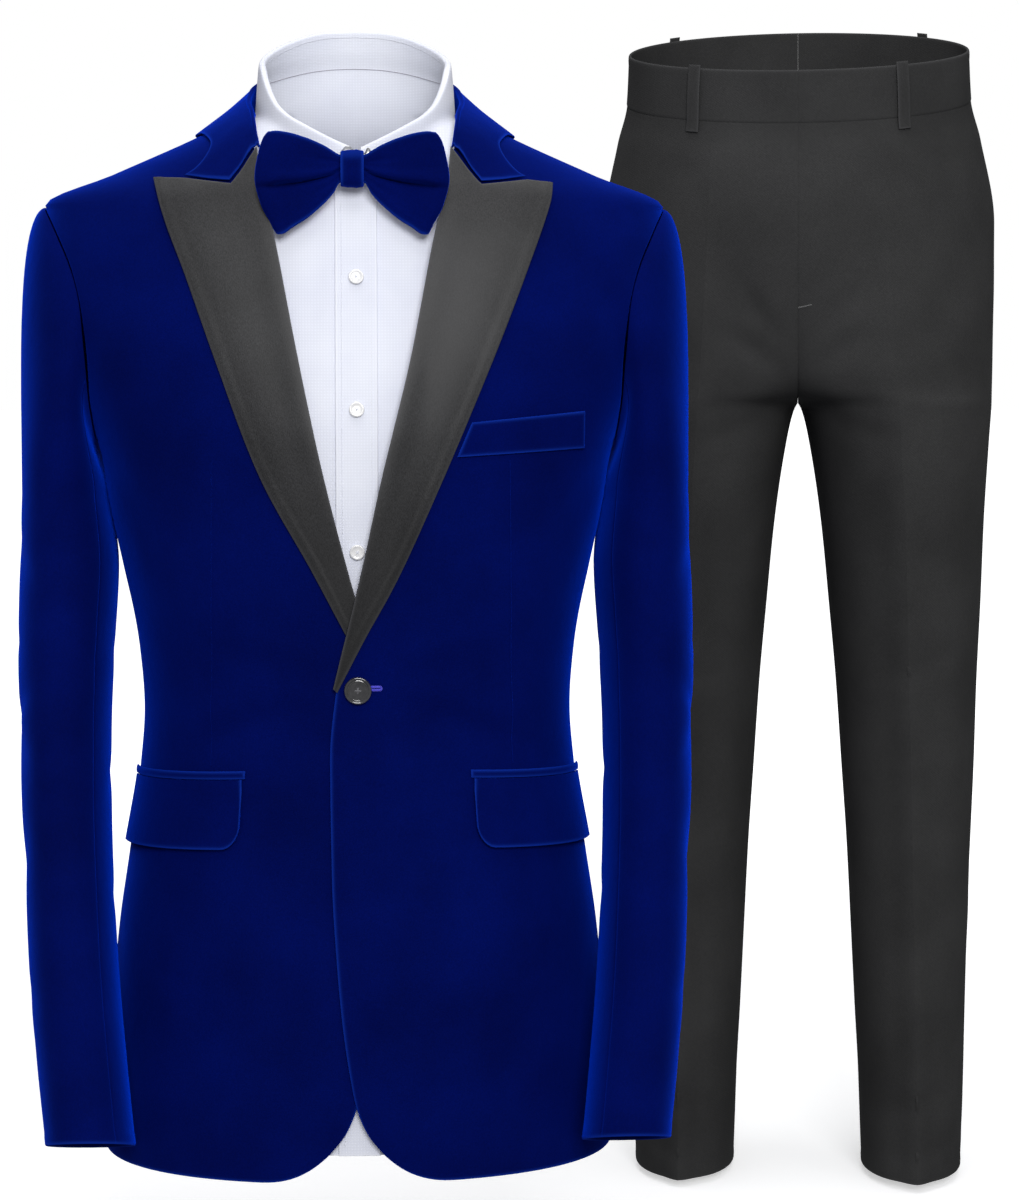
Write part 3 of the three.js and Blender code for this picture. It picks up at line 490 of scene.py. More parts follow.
def velvet_finish():
    """Deep blue pile: darker patches where it lies over, sheen, painted highlights on folded edges and the
    knot's top, painted shade in creases.
    """
    velvet = Finish("velvet", Roughness=0.85, Specular_IOR_Level=0.02, Sheen_Weight=0.6,
                    Sheen_Roughness=0.42, Sheen_Tint=(0.0, 0.06, 1.0, 1))
    patches = velvet.ramp(velvet.noise(70, 4), (0.3, (0.0002, 0.0026, 0.062)),
                          (0.7, (0.0003, 0.004, 0.095)))
    pile = velvet.multiply(patches, velvet.greys(velvet.noise(1.1, 2), (0.3, 0.82), (0.75, 1.12)))
    # Painted highlight: lighter blue where the edge attribute says, along folded edges and on the knot's
    # top.
    lit = velvet.toward("edge", 0.6, pile, (0.006, 0.035, 0.36))
    # Painted shade: near black in the bow wings' crease.
    velvet.colour(velvet.toward("painted_crease_shade", 1.0, lit, (0.0, 0.0006, 0.012)))
    velvet.rough(velvet.noise(12, 3), 0.78, 0.95)
    height = velvet.math("ADD", velvet.noise(0.7, 2), velvet.math("MULTIPLY", velvet.noise(9, 3), 1.6))
    velvet.bump(height, 0.25, 0.6)
    return velvet.material


def satin_finish():
    """Black satin with a fine grain that sparkles, and painted shade that darkens the lapels towards the
    bottom, above the button.
    """
    satin = Finish("satin", Roughness=0.5, Specular_IOR_Level=0.3)
    grain = satin.noise(0.75, 4, (1.0, 1.0, 0.55))
    tone = satin.ramp(grain, (0.3, (0.008, 0.008, 0.0088)), (0.8, (0.034, 0.034, 0.037)))
    base = satin.multiply(tone, satin.greys(satin.noise(45, 3), (0.3, 0.8), (0.7, 1.15)))
    # Painted shade: darker towards the bottom of the lapels, by height alone.
    level = satin.node("SeparateXYZ", {"Vector": satin.place}).outputs["Z"]
    lower_lapel_painted_shade = satin.node("MapRange", {"Value": level, "From Min": -0.42, "From Max": -0.26,
                                        "To Min": 0.8, "To Max": 0.0}).outputs[0]
    base = satin.mix(lower_lapel_painted_shade, base, (0.002, 0.002, 0.0024, 1))
    # Painted highlight along the folded edges.
    satin.colour(satin.toward("edge", 0.35, base, (0.09, 0.09, 0.1)))
    satin.rough(grain, 0.42, 0.58)
    satin.bump(satin.math("ADD", grain, satin.noise(6, 2)), 0.1, 0.7)
    return satin.material


def cotton_finish():
    """White poplin with a fine plain weave."""
    cotton = Finish("cotton", Roughness=0.8, Specular_IOR_Level=0.2, Sheen_Weight=0.15, Sheen_Roughness=0.5)
    tone = cotton.ramp(cotton.noise(60, 3), (0.3, (0.72, 0.74, 0.84)), (0.7, (0.8, 0.82, 0.9)))
    weave = cotton.math("MULTIPLY", cotton.bands(1.1, "X"), cotton.bands(1.1, "Z"))
    base = cotton.multiply(tone, cotton.greys(weave, (0, 0.95), (1, 1.03)))
    # Painted highlight: lighter along folded edges.
    cotton.colour(cotton.toward("edge", 0.3, base, (0.92, 0.93, 0.98)))
    cotton.rough(cotton.noise(8, 2), 0.72, 0.88)
    cotton.bump(weave, 0.12, 0.5)
    return cotton.material


def wool_finish():
    """Charcoal worsted in a fine twill."""
    wool = Finish("wool", Roughness=0.9, Specular_IOR_Level=0.05)
    tone = wool.ramp(wool.noise(90, 4), (0.3, (0.029, 0.029, 0.0295)), (0.7, (0.041, 0.041, 0.0415)))
    twill = wool.bands(0.8, "X", (0, math.radians(52), 0))
    slub = wool.greys(wool.noise(1.6, 3), (0.3, 0.9), (0.7, 1.1))
    base = wool.multiply(wool.multiply(tone, wool.greys(twill, (0, 0.94), (1, 1.05))), slub)
    # Painted highlight: lighter along folded edges.
    wool.colour(wool.toward("edge", 0.35, base, (0.075, 0.075, 0.078)))
    wool.rough(wool.noise(10, 3), 0.74, 0.9)
    wool.bump(wool.math("ADD", twill, wool.noise(3, 3)), 0.05, 0.5)
    return wool.material


def hard_finish(name, low, high, size, **values):
    hard = Finish(name, **values)
    mottle = hard.noise(size, 4)
    hard.colour(hard.ramp(mottle, (0.3, low), (0.7, high)))
    base = values["Roughness"]
    hard.rough(hard.noise(size / 3, 2), base * 0.8, base * 1.25)
    hard.bump(hard.noise(size / 4, 2), 0.02, 0.4)
    return hard.material


def thread_finish(name, low, high):
    thread = Finish(name, Roughness=0.6, Specular_IOR_Level=0.35, Sheen_Weight=0.2, Sheen_Roughness=0.4)
    twist = thread.noise(0.4, 2)
    thread.colour(thread.ramp(twist, (0.3, low), (0.7, high)))
    thread.rough(twist, 0.5, 0.75)
    thread.bump(twist, 0.05, 0.6)
    return thread.material


velvet = velvet_finish()
satin = satin_finish()
cotton = cotton_finish()
wool = wool_finish()
horn = hard_finish("horn", (0.014, 0.014, 0.016), (0.032, 0.032, 0.035), 3, Roughness=0.14,
                   Specular_IOR_Level=0.7, Coat_Weight=1.0, Coat_Roughness=0.06)
pearl = hard_finish("pearl", (0.72, 0.72, 0.74), (0.86, 0.85, 0.84), 4, Roughness=0.2,
                    Specular_IOR_Level=0.6, Coat_Weight=0.5, Coat_Roughness=0.1)
steel = hard_finish("steel", (0.42, 0.42, 0.4), (0.6, 0.6, 0.58), 2, Roughness=0.32, Metallic=1.0)
blue_thread = thread_finish("blue_thread", (0.05, 0.05, 0.5), (0.1, 0.09, 0.75))
dark_thread = thread_finish("dark_thread", (0.09, 0.09, 0.1), (0.16, 0.16, 0.17))
white_thread = thread_finish("white_thread", (0.7, 0.72, 0.8), (0.85, 0.86, 0.92))
wool_thread = thread_finish("wool_thread", (0.1, 0.1, 0.1), (0.17, 0.17, 0.17))
# A grey thread that is partly a seam and partly painted shadow along it.
shade_thread = thread_finish("shade_thread", (0.3, 0.28, 0.34), (0.4, 0.38, 0.44))


# Jacket body


def lap_lift(x, side):
    return LAP * (1 - smoothstep(x, 18, 52)) if side > 0 else x * 0


# Troughs of the fronts on the wearer's own side: x and level of both ends, depth, width, bend
FRONT_FOLDS = [
    (30, -441, 128, -478, 1.3, 9, 5),
    (34, -418, 118, -388, 1.0, 10, -6),
    (150, -372, 84, -436, 0.8, 12, 4),
    (160, -112, 196, -205, 1.5, 12, 6),
    (188, -262, 146, -338, 1.3, 11, -5),
    (172, -300, 158, -388, 0.9, 9, 3),
    (124, -575, 108, -758, 1.5, 21, 7),
    (62, -556, 44, -735, 1.0, 17, -6),
    (156, -566, 168, -742, 1.3, 15, -5),
    (118, -92, 150, -128, 0.8, 13, 4),
]


def front_grid(name, side):
    level = lerp(JACKET_TOP, JACKET_HEM, stops(JACKET_TOP - JACKET_HEM))[:, None]
    share = stops(235)[None, :]
    fade = 1 - smoothstep(level, JACKET_HEM, CORNER_START)
    top = level + CORNER_RISE * fade
    start = front_angle(FRONT_EDGE[name](top), top)
    height = level + CORNER_RISE * fade * np.maximum(0, 1 - share / 0.25) ** 2.4
    angle = lerp(start, math.pi / 2, share) + (side_angle(height, False) - math.pi / 2) * share**3
    return body_lifted(height, angle, lap_lift(body_point(height, angle)[..., 0], side))


def back_grid():
    level = lerp(JACKET_TOP, JACKET_HEM, stops(JACKET_TOP - JACKET_HEM))[:, None]
    share = 1 - stops(290)[None, :]
    middle = math.pi - SEAM / 2 / BODY["back"](level)
    angle = lerp(middle, math.pi / 2, share) + (side_angle(level, True) - math.pi / 2) * share**3
    return body_point(level, angle)


# Troughs of each back, whose first number is the distance from the centre seam
BACK_FOLDS = [
    (14, -92, 120, -104, 1.5, 9, -6),
    (34, -132, 150, -168, 1.2, 13, 7),
    (168, -205, 120, -300, 1.5, 13, 7),
    (150, -398, 40, -440, 1.3, 10, -5),
    (156, -430, 66, -462, 1.5, 9, 5),
    (128, -352, 92, -425, 1.0, 12, 4),
    (96, -560, 84, -760, 1.7, 20, 6),
    (150, -540, 158, -752, 1.5, 17, -6),
    (34, -545, 30, -740, 1.1, 18, 4),
]

for name, side in SIDES:
    points = front_grid(name, side)
    relief = fold_relief(points[..., 0], points[..., 2], FRONT_FOLDS)
    cloth(f"shell_front_{name}", points, CLOTH, velvet, node=f"jacket_front_{name}", side=side,
          edges=("fine", "fold", "fold", "fine"), relief=relief)
    points = back_grid()
    relief = fold_relief(points[..., 0], points[..., 2], BACK_FOLDS)
    cloth(f"shell_back_{name}", points, CLOTH, velvet, node=f"jacket_back_{name}", side=side,
          edges=("fine", "fold", "fine", "seam"), relief=relief, meets=0.03)

# The darts are sewn ridges from below the chest to the pocket
DARTS = {"left": (109, 112), "right": (103, 106)}
DART_LEVELS = np.linspace(-265, -486, 50)
for name, side in SIDES:
    top, bottom = DARTS[name]
    across = np.linspace(top, bottom, len(DART_LEVELS))
    relief = fold_relief(across, DART_LEVELS, FRONT_FOLDS)
    line = on_front(across, DART_LEVELS, 0.05 + relief)
    thread_piece(f"dart_{name}", [line * (side, 1, 1)], 0.55, velvet)


# Lapels


def along(points):
    """Points at shares of the length of a line of many points."""
    at = np.insert(np.cumsum(np.linalg.norm(np.diff(points, axis=0), axis=1)), 0, 0)
    at = at / at[-1]
    return lambda share: np.stack([np.interp(share, at, points[:, k]) for k in (0, 1)], -1)


def bent(points):
    return along(np.array(points, float))


def curve(points):
    """A smooth curve through flat points, as a function of the share of its length."""
    points = np.array(points, float)
    full = np.vstack([2 * points[0] - points[1], points, 2 * points[-1] - points[-2]])
    t = np.linspace(0, 1, 40)[:, None]
    line = []
    for a, b, c, d in zip(full, full[1:], full[2:], full[3:]):
        before, step, after = (np.linalg.norm(q - p) ** 0.5 for p, q in ((a, b), (b, c), (c, d)))
        leave = ((b - a) / before - (c - a) / (before + step) + (c - b) / step) * step
        arrive = ((c - b) / step - (d - b) / (step + after) + (d - c) / after) * step
        line.append(b + leave * t + (3 * (c - b) - 2 * leave - arrive) * t**2
                    + (2 * (b - c) + leave + arrive) * t**3)
    return along(np.concatenate(line))


def patch(top, bottom, left, right):
    """A flat patch between four curves that meet at its corners, by shares down and across."""
    def point(v, u):
        edges = lerp(top(u), bottom(u), v[..., None]) + lerp(left(v), right(v), u[..., None])
        corner = [curve_at(np.array(share)) for curve_at in (top, bottom) for share in (0.0, 1.0)]
        upper = lerp(corner[0], corner[1], u[..., None])
        lower = lerp(corner[2], corner[3], u[..., None])
        return edges - lerp(upper, lower, v[..., None])
    return point


LAPELS = {
    "left": {
        "top": bent([(67.5, -42.5), (81.5, -61), (89.5, -69.8), (123, -66.2), (142, -68)]),
        "outer": curve([(142, -68), (140, -80), (123, -128), (97, -194), (32, -342), (5, -392),
                        (-14.5, -430)]),
        "roll": curve([(67.5, -42.5), (64, -75), (56, -104), (38, -194), (17, -278), (3, -342),
                       (-17.5, -427)]),
    },
    "right": {
        "top": bent([(70, -43.2), (81.5, -61), (88.5, -69.8), (122, -65.8), (145, -65)]),
        "outer": curve([(145, -65), (136, -95), (122, -132), (100, -194), (68, -278), (33, -342),
                        (8.5, -389)]),
        "roll": curve([(70, -43.2), (65.5, -75), (58, -106), (41, -194), (23, -278), (7, -342),
                       (1.2, -363)]),
    },
}


def lapel_lift(v, u, x, side):
    fade = 1 - smoothstep(v, 0.6, 0.97)
    roll = 3.2 * np.exp(-((u / 0.3) ** 2)) * fade
    belly = 1.8 * np.sin(math.pi * u) * fade
    peak = 1.4 * smoothstep(u, 0.5, 1) * (1 - smoothstep(v, 0, 0.25))
    return CLOTH + 0.7 + roll + belly + peak + lap_lift(x, side)


for name, side in SIDES:
    shape = LAPELS[name]
    ends = shape["roll"](np.array(1.0)), shape["outer"](np.array(1.0))
    flat = patch(shape["top"], lambda u: lerp(*ends, u[..., None]), shape["roll"], shape["outer"])
    v, u = np.meshgrid(stops(380, 3.5), stops(80, 3), indexing="ij")
    spot = flat(v, u)
    lift = lapel_lift(v, u, spot[..., 0], side)
    points = on_front(spot[..., 0], spot[..., 1], lift)
    cloth(f"satin_{name}", points, CLOTH, satin, node=f"lapel_{name}", side=side,
          edges=("fold", "plain", "fold", "fold"))


# The jacket's collar
COLLAR = table("share fold_x fold_y fold_z fall_angle fall_level seam_angle seam_level", [
    (0, 0, 81, 39, 180, -34, 180, -10.5),
    (0.16, 33, 75.5, 35, 150, -34, 156, -10.5),
    (0.32, 61, 54, 24, 125, -33, 130, -10.5),
    (0.48, 77.5, 18, 9, 100, -30, 102, -10.5),
    (0.62, 79, -12, -1, 80, -29, 81, -10.5),
    (0.76, 75.5, -43, -11, 63.5, -37, 61, -15),
    (0.88, 73, -66, -24, 58, -49, 48, -33),
    (1, 70.5, -78, -38, 55, -62, 43.4, -41),
])
COLLAR_FOLD = 2.4
COLLAR_END = bent([(70.8, -39.6), (83, -58.3), (90, -67), (106, -65.3), (122.5, -62.3)])


def collar_point(u, v):
    """A line across the collar: up from its seam, over the fold and down the fall."""
    fold = vec(COLLAR["fold_x"](u), COLLAR["fold_y"](u), COLLAR["fold_z"](u))
    out = unit(fold * (1, 1, 0))
    up = np.array([0, 0, 1.0])
    seam = body_lifted(COLLAR["seam_level"](u), np.radians(COLLAR["seam_angle"](u)), 0.9 + 0 * u)
    fall = body_lifted(COLLAR["fall_level"](u), np.radians(COLLAR["fall_angle"](u)), CLOTH + 0.9 + 0 * u)
    room = (COLLAR_FOLD * (1 - 0.25 * u))[..., None]
    inner = fold - out * room - up * room
    outer = fold + out * room - up * room
    rise = lerp(seam, inner, np.minimum(v / 0.3, 1)[..., None])
    turn = (math.pi * np.clip((v - 0.3) / 0.2, 0, 1))[..., None]
    over = inner + out * room * (1 - np.cos(turn)) + up * room * np.sin(turn)
    share = np.clip((v - 0.5) / 0.5, 0, 1)
    part = share[..., None]
    shoulder = lerp(outer, fall, 0.45) + out * 0.3 + up * 0.8
    leaf = lerp(lerp(outer, shoulder, part), lerp(shoulder, fall, part), part)
    spot = COLLAR_END(share)
    end = on_front(spot[..., 0], spot[..., 1], CLOTH + 1.1 + 2.2 * (1 - share))
    leaf = lerp(leaf, end, (smoothstep(u, 0.8, 1) ** 1.5 * smoothstep(share, 0, 0.25))[..., None])
    return np.where(v[..., None] < 0.3, rise, np.where(v[..., None] < 0.5, over, leaf))


def collar_grid():
    shares = np.concatenate([np.linspace(0, 0.96, 52), 1 - EDGE_STEPS[::-1] / 210])
    steps = np.concatenate([np.linspace(0, 0.3, 9)[:-1], np.linspace(0.3, 0.5, 11)[:-1],
                            lerp(0.5, 1, np.linspace(0, 0.92, 12)), 1 - EDGE_STEPS[::-1] / 100])
    v, u = np.meshgrid(steps, shares, indexing="ij")
    half = collar_point(u, v)
    other = half[:, :0:-1] * (-1, 1, 1)
    return np.concatenate([other, half], 1)[:, ::-1]


cloth("velvet_collar", collar_grid(), CLOTH, velvet, node="jacket_collar",
      edges=("plain", "fold", "fold", "fold"))


# Sleeves
SLEEVE = table("level inner outer middle reach pitch", [
    (-292, 186, 249, -2, 74, 0),
    (-347, 179, 251, -8, 71, 0.03),
    (-407, 182, 252, -17, 68, 0.08),
    (-468, 184, 250.3, -30, 65, 0.13),
    (-528, 183, 247.5, -47, 62, 0.18),
    (-588, 180, 243.5, -66, 59.5, 0.22),
    (-650, 175, 239, -86, 57, 0.25),
    (-705, 169, 233, -103, 54.5, 0.28),
    (-760, 162.5, 226, -119, 52, 0.3),
])
SLEEVE_TOP = -292
SEAM_FRONT = -28
SEAM_BACK = 208

# Folds of the sleeve: level, angle, depth, height, slant and how far round it goes, in degrees
SLEEVE_FOLDS = [
    (-352, 20, 2.6, 16, 0.5, 42),
    (-432, 5, 2.2, 14, -0.4, 42),
    (-487, 30, 2.4, 18, 0.45, 42),
    (-560, 55, 1.8, 20, -0.35, 42),
    (-470, 150, 2.6, 17, 0.4, 42),
    (-610, 125, 1.8, 18, -0.4, 42),
    (-398, 70, 0.9, 8, 0.35, 30),
    (-455, 60, 1.1, 7, -0.3, 34),
    (-515, 10, 1.2, 8, 0.35, 30),
    (-540, 160, 1.1, 9, -0.3, 34),
    (-660, 40, 0.9, 10, 0.25, 38),
    (-700, 110, 0.8, 9, -0.2, 36),
    (-420, 220, 1.2, 9, 0.3, 36),
    (-500, 250, 1.3, 10, -0.3, 40),
    (-590, 235, 1.0, 10, 0.25, 38),
]


def sleeve_ring(level, angle):
    inner, outer = SLEEVE["inner"](level), SLEEVE["outer"](level)
    degrees = np.degrees(angle)
    power = 2.25
    half = (outer - inner) / 2
    for at, toward, depth, height, slant, width in SLEEVE_FOLDS:
        turn = (degrees - toward + 540) % 360 - 180
        rise = (level - at - slant * turn) / height
        half = half - depth * np.exp(-((turn / width) ** 2) - rise**2)
    sine, cosine = np.sin(angle), np.cos(angle)
    reach = SLEEVE["reach"](level)
    radius = (np.abs(sine / half) ** power + np.abs(cosine / reach) ** power) ** (-1 / power)
    back = -radius * cosine
    return vec((inner + outer) / 2 + radius * sine, SLEEVE["middle"](level) + back,
               level - SLEEVE["pitch"](level) * back)


def armhole_point(angle):
    gap = 0.7
    middle = (SHOULDER_TIP + ARMPIT) / 2
    y = -(ARMHOLE_REACH - gap) * np.cos(angle)
    z = middle + ((SHOULDER_TIP - ARMPIT) / 2 - gap) * np.sin(angle)
    power = BODY["power"](z)
    depth = np.where(y < 0, BODY["front"](z), BODY["back"](z))
    x = BODY["half"](z) * (1 - (np.abs(y) / depth) ** power) ** (1 / power)
    return vec(x + 0.35 + 0.5 * np.maximum(0, -np.sin(angle)), y, z)


def sleeve_cap(share, angle):
    start = armhole_point(angle)
    end = sleeve_ring(np.full_like(angle, SLEEVE_TOP), angle)
    top = np.maximum(0, np.sin(angle))
    length = np.linalg.norm(end - start, axis=-1)
    leave = vec(0.35 + 0.6 * top, -0.3 * np.cos(angle), -0.75 + 0.6 * top)
    leave = leave * (length * (0.9 - 0.55 * top))[..., None]
    arrive = vec(0 * length, 0 * length, -0.8 * length)
    t = share[..., None]
    return ((2 * t**3 - 3 * t**2 + 1) * start + (t**3 - 2 * t**2 + t) * leave
            + (3 * t**2 - 2 * t**3) * end + (t**3 - t**2) * arrive)


def sleeve_grid(start, end, width):
    gap = SEAM / 40
    angles = lerp(math.radians(start) + gap, math.radians(end) - gap, stops(width))
    cap = np.concatenate([EDGE_STEPS / 120, np.linspace(0.04, 1, 34)])
    levels = lerp(SLEEVE_TOP - 4, CUFF, stops(SLEEVE_TOP - 4 - CUFF)[5:])
    v, turn = np.meshgrid(cap, angles, indexing="ij")
    level, below = np.meshgrid(levels, angles, indexing="ij")
    return np.concatenate([sleeve_cap(v, turn), sleeve_ring(level, below)])


for name, side in SIDES:
    for part, start, end, width in (("top", SEAM_FRONT, SEAM_BACK, 200),
                                    ("under", SEAM_BACK, SEAM_FRONT + 360, 110)):
        cloth(f"velvet_sleeve_{part}_{name}", sleeve_grid(start, end, width), CLOTH, velvet,
              node=f"sleeve_{part}_{name}", side=side, edges=("plain", "fold", "fine", "fine"))


# Pockets
FLAP = {"start": 36, "end": 84, "inner": -494.5, "outer": -503, "height": 50, "corner": 15}
JET_HEIGHT = 6


def flap_grid():
    v, u = np.meshgrid(stops(50, 3), stops(150, 3), indexing="ij")
    share = u**1.15
    inside = np.maximum(0, FLAP["corner"] - share * 150)
    corner = FLAP["corner"] - np.sqrt(FLAP["corner"] ** 2 - inside**2)
    level = lerp(FLAP["inner"], FLAP["outer"], share) - (FLAP["height"] - corner) * v
    angle = np.radians(lerp(FLAP["start"], FLAP["end"], share))
    return body_lifted(level, angle, CLOTH + 0.6 + 2.2 * v)


def jet_grid():
    v, u = np.meshgrid(stops(6), stops(155, 3), indexing="ij")
    angle = np.radians(lerp(FLAP["start"] - 1, FLAP["end"] + 1, u))
    level = lerp(FLAP["inner"], FLAP["outer"], u) + 0.5 + JET_HEIGHT * (1 - v)
    return body_lifted(level, angle, CLOTH + 0.5 + 0.5 * np.sin(math.pi * v))


WELT = patch(
    bent([(81.5, -238), (164, -230)]),
    bent([(71, -262.5), (164, -257)]),
    bent([(81.5, -238), (71, -262.5)]),
    bent([(164, -230), (164, -257)]),
)


def welt_grid():
    v, u = np.meshgrid(stops(27, 3), stops(90, 3), indexing="ij")
    spot = WELT(v, u)
    return on_front(spot[..., 0], spot[..., 1], CLOTH + 0.5 + 0 * v)


for name, side in SIDES:
    jet = cloth(f"velvet_jet_{name}", jet_grid(), CLOTH, velvet, node=f"jet_{name}", side=side,
                edges=("fold",) * 4, trim=True)
    cloth(f"velvet_flap_{name}", flap_grid(), CLOTH, velvet, node=f"flap_{name}", side=side,
          edges=("plain", "fold", "fold", "fold"))
cloth("velvet_welt", welt_grid(), CLOTH, velvet, node="breast_welt", edges=("fold",) * 4)


# Half sections of the buttons, from the back round to the middle: shares of the radius and the thickness
RIMMED = [(0, 0), (0.86, 0), (0.97, 0.14), (1, 0.45), (0.985, 0.76), (0.945, 0.94), (0.885, 1),
          (0.83, 0.95), (0.79, 0.8), (0.765, 0.73), (0.735, 0.77), (0.705, 0.785), (0.675, 0.75),
          (0.655, 0.68), (0.6, 0.66), (0.3, 0.655), (0, 0.65)]
DISHED = [(0, 0), (0.84, 0), (0.95, 0.12), (1, 0.45), (0.97, 0.8), (0.9, 0.97), (0.82, 1), (0.75, 0.95),
          (0.66, 0.82), (0.56, 0.75), (0.3, 0.74), (0, 0.74)]


def button_piece(name, node, radius, thick, profile, turn, place, out, finish, thread, slot):
    """A turned disc with a raised rim, four holes and threads that cross between them."""
    sides = 64
    spin = 2 * math.pi * np.arange(sides) / sides
    away = np.asarray(out) / np.linalg.norm(out)
    right = unit(np.cross((0, 0, 1), away) * -1)
    up = np.cross(away, right) * -1
    axes = np.stack([right, up, away])
    rings = [np.stack([r * radius * np.cos(spin), r * radius * np.sin(spin), 0 * spin + h * thick], 1)
             for r, h in profile[1:-1]]
    flat = np.concatenate([[(0, 0, 0)], *rings, [(0, 0, profile[-1][1] * thick)]])
    faces = [(0, 1 + (k + 1) % sides, 1 + k) for k in range(sides)]
    for ring in range(len(rings) - 1):
        low = 1 + ring * sides
        faces += [(low + k, low + (k + 1) % sides, low + sides + (k + 1) % sides, low + sides + k)
                  for k in range(sides)]
    last = 1 + (len(rings) - 1) * sides
    faces += [(last + k, last + (k + 1) % sides, len(flat) - 1) for k in range(sides)]
    piece = mesh_piece(name, flat @ axes + place, faces, finish, 35)
    hole_at = radius * 0.28
    hole = radius * 0.085
    cutter_faces, cutter_points = [], []
    for quarter in range(4):
        toward = math.radians(turn + 45 + 90 * quarter)
        base = len(cutter_points)
        ring = 2 * math.pi * np.arange(12) / 12
        for h in (-0.2, 1.3):
            cutter_points += [(hole_at * math.cos(toward) + hole * math.cos(t),
                               hole_at * math.sin(toward) + hole * math.sin(t), h * thick) for t in ring]
        cutter_faces += [(base + k, base + (k + 1) % 12, base + 12 + (k + 1) % 12, base + 12 + k)
                         for k in range(12)]
        cutter_faces += [tuple(range(base + 11, base - 1, -1)), tuple(range(base + 12, base + 24))]
    cutter = mesh_piece(name + "_cutter", np.array(cutter_points) @ axes + place, cutter_faces, finish)
    cut = piece.modifiers.new("holes", "BOOLEAN")
    cut.object = cutter
    cut.solver = "EXACT"
    cut_mesh = bpy.data.meshes.new_from_object(
        piece.evaluated_get(bpy.context.evaluated_depsgraph_get()))
    piece.modifiers.clear()
    piece.data = cut_mesh
    bpy.data.objects.remove(cutter)
    sewn = []
    for over in (0, 1):
        toward = math.radians(turn + 45 + 90 * over)
        ahead = np.array([math.cos(toward), math.sin(toward)])
        aside = np.array([-ahead[1], ahead[0]])
        ys = np.linspace(-1, 1, 11)
        height = profile[-1][1] * thick + radius * ((0.03 + 0.05 * over) * np.cos(ys * math.pi / 2)
                                                    - 0.12 * np.abs(ys) ** 6)
        for offset in (-0.035, 0.035):
            across = hole_at * ys[:, None] * ahead + offset * radius * aside
            sewn.append(np.c_[across, height] @ axes + place)
    threads = thread_piece(name + "_thread", sewn, radius * 0.035, thread)
    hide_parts(node)
    return piece, threads


def button_on_front(name, node, x, level, lift, shirt, **shape):
    place = on_front(x, level, lift, shirt)
    out = on_front(x, level, lift + 1, shirt) - place
    button_piece(name, node, place=place, out=out, **shape)


button_on_front("horn_button", "front_button", 0, -428.5, LAP + 0.4, False, radius=10, thick=3.2,
                profile=RIMMED, turn=45, finish=horn, thread=dark_thread, slot="horn")

# The buttonhole reaches past the button: stitches across a slit and round its end
HOLE_START, HOLE_END, HOLE_LEVEL = 9.0, 15.5, -427.2
hole_paths = []
for k in range(15):
    x = lerp(HOLE_START, HOLE_END, k / 14)
    for up in (-1, 1):
        inner = on_front(x, HOLE_LEVEL + up * 0.35, LAP + 0.25)
        ridge = on_front(x, HOLE_LEVEL + up * 1.0, LAP + 0.75)
        outer = on_front(x, HOLE_LEVEL + up * 1.9, LAP + 0.15)
        hole_paths.append([inner, ridge, outer])
for k in range(7):
    turn = math.radians(lerp(-80, 80, k / 6))
    spots = [(0.5, 0.25), (1.1, 0.75), (2.0, 0.15)]
    hole_paths.append([on_front(HOLE_END + r * math.cos(turn), HOLE_LEVEL + r * math.sin(turn), LAP + lift)
                       for r, lift in spots])
thread_piece("buttonhole", hole_paths, 0.24, blue_thread)


# Shirt
STAND = table("degrees fold leaf", [
    (0, -43, -66),
    (17, -31, -76),
    (27, -24, -79),
    (38, -17, -62),
    (50, -7.5, -48),
    (66, 10.5, -36),
    (77, 22, -20),
    (98, 31, -12),
    (120, 41, -5),
    (134, 47.5, 1),
    (150, 54, 6),
    (165, 57.5, 9),
    (180, 58.5, 10),
])
STAND_HALF = 68.5
STAND_FRONT = 83
STAND_BACK = 70
LEAF_OUT = 3
LEAF_FLARE = 3.2
LEAF_FOLD = 2.45
LEAF_TAIL = 3
LEAF_FRONT = 2.5
LEAF_POINT = 26
NECK_CLEAR = 1.2
NECK_RISE = 29
STAND_TUCK = 0.96


def stand_point(angle, level, out):
    depth = np.where(np.cos(angle) > 0, STAND_FRONT, STAND_BACK)
    radius = 1 / np.hypot(np.sin(angle) / STAND_HALF, np.cos(angle) / depth) + out
    return vec(radius * np.sin(angle), -radius * np.cos(angle), level)


def neck_level(angle, out):
    """The level at which the shirt's surface is that far outside the stand, at each angle."""
    angle = np.asarray(angle, float)
    low, high = np.full_like(angle, -130), np.full_like(angle, -11)
    for _ in range(26):
        level = (low + high) / 2
        body = body_lifted(level, angle, np.full_like(angle, -COTTON), True)
        stand = stand_point(angle, level, out)
        wide = np.hypot(body[..., 0], body[..., 1]) > np.hypot(stand[..., 0], stand[..., 1])
        low, high = np.where(wide, level, low), np.where(wide, high, level)
    return body_point((low + high) / 2, angle, True)[..., 2]


def neck_angle(level):
    low, high = np.zeros_like(level), np.full_like(level, math.pi / 2)
    for _ in range(26):
        angle = (low + high) / 2
        inside = neck_level(angle, NECK_CLEAR) < level
        low, high = np.where(inside, angle, low), np.where(inside, high, angle)
    return np.where(neck_level(0 * level, NECK_CLEAR) >= level, 0, (low + high) / 2)


def neck_rise(angle):
    return NECK_RISE * smoothstep(-np.cos(angle), -0.12, 0.36)


def fold_level(angle):
    return STAND["fold"](np.degrees(np.minimum(angle, 2 * math.pi - angle)))


# Troughs of the shirt's fronts, on the wearer's own side
SHIRT_FOLDS = [
    (22, -112, 34, -205, 0.9, 7, 3),
    (20, -240, 30, -330, 0.7, 6, -3),
    (40, -90, 60, -160, 0.8, 9, 4),
    (24, -700, 60, -760, 1.0, 9, 3),
]


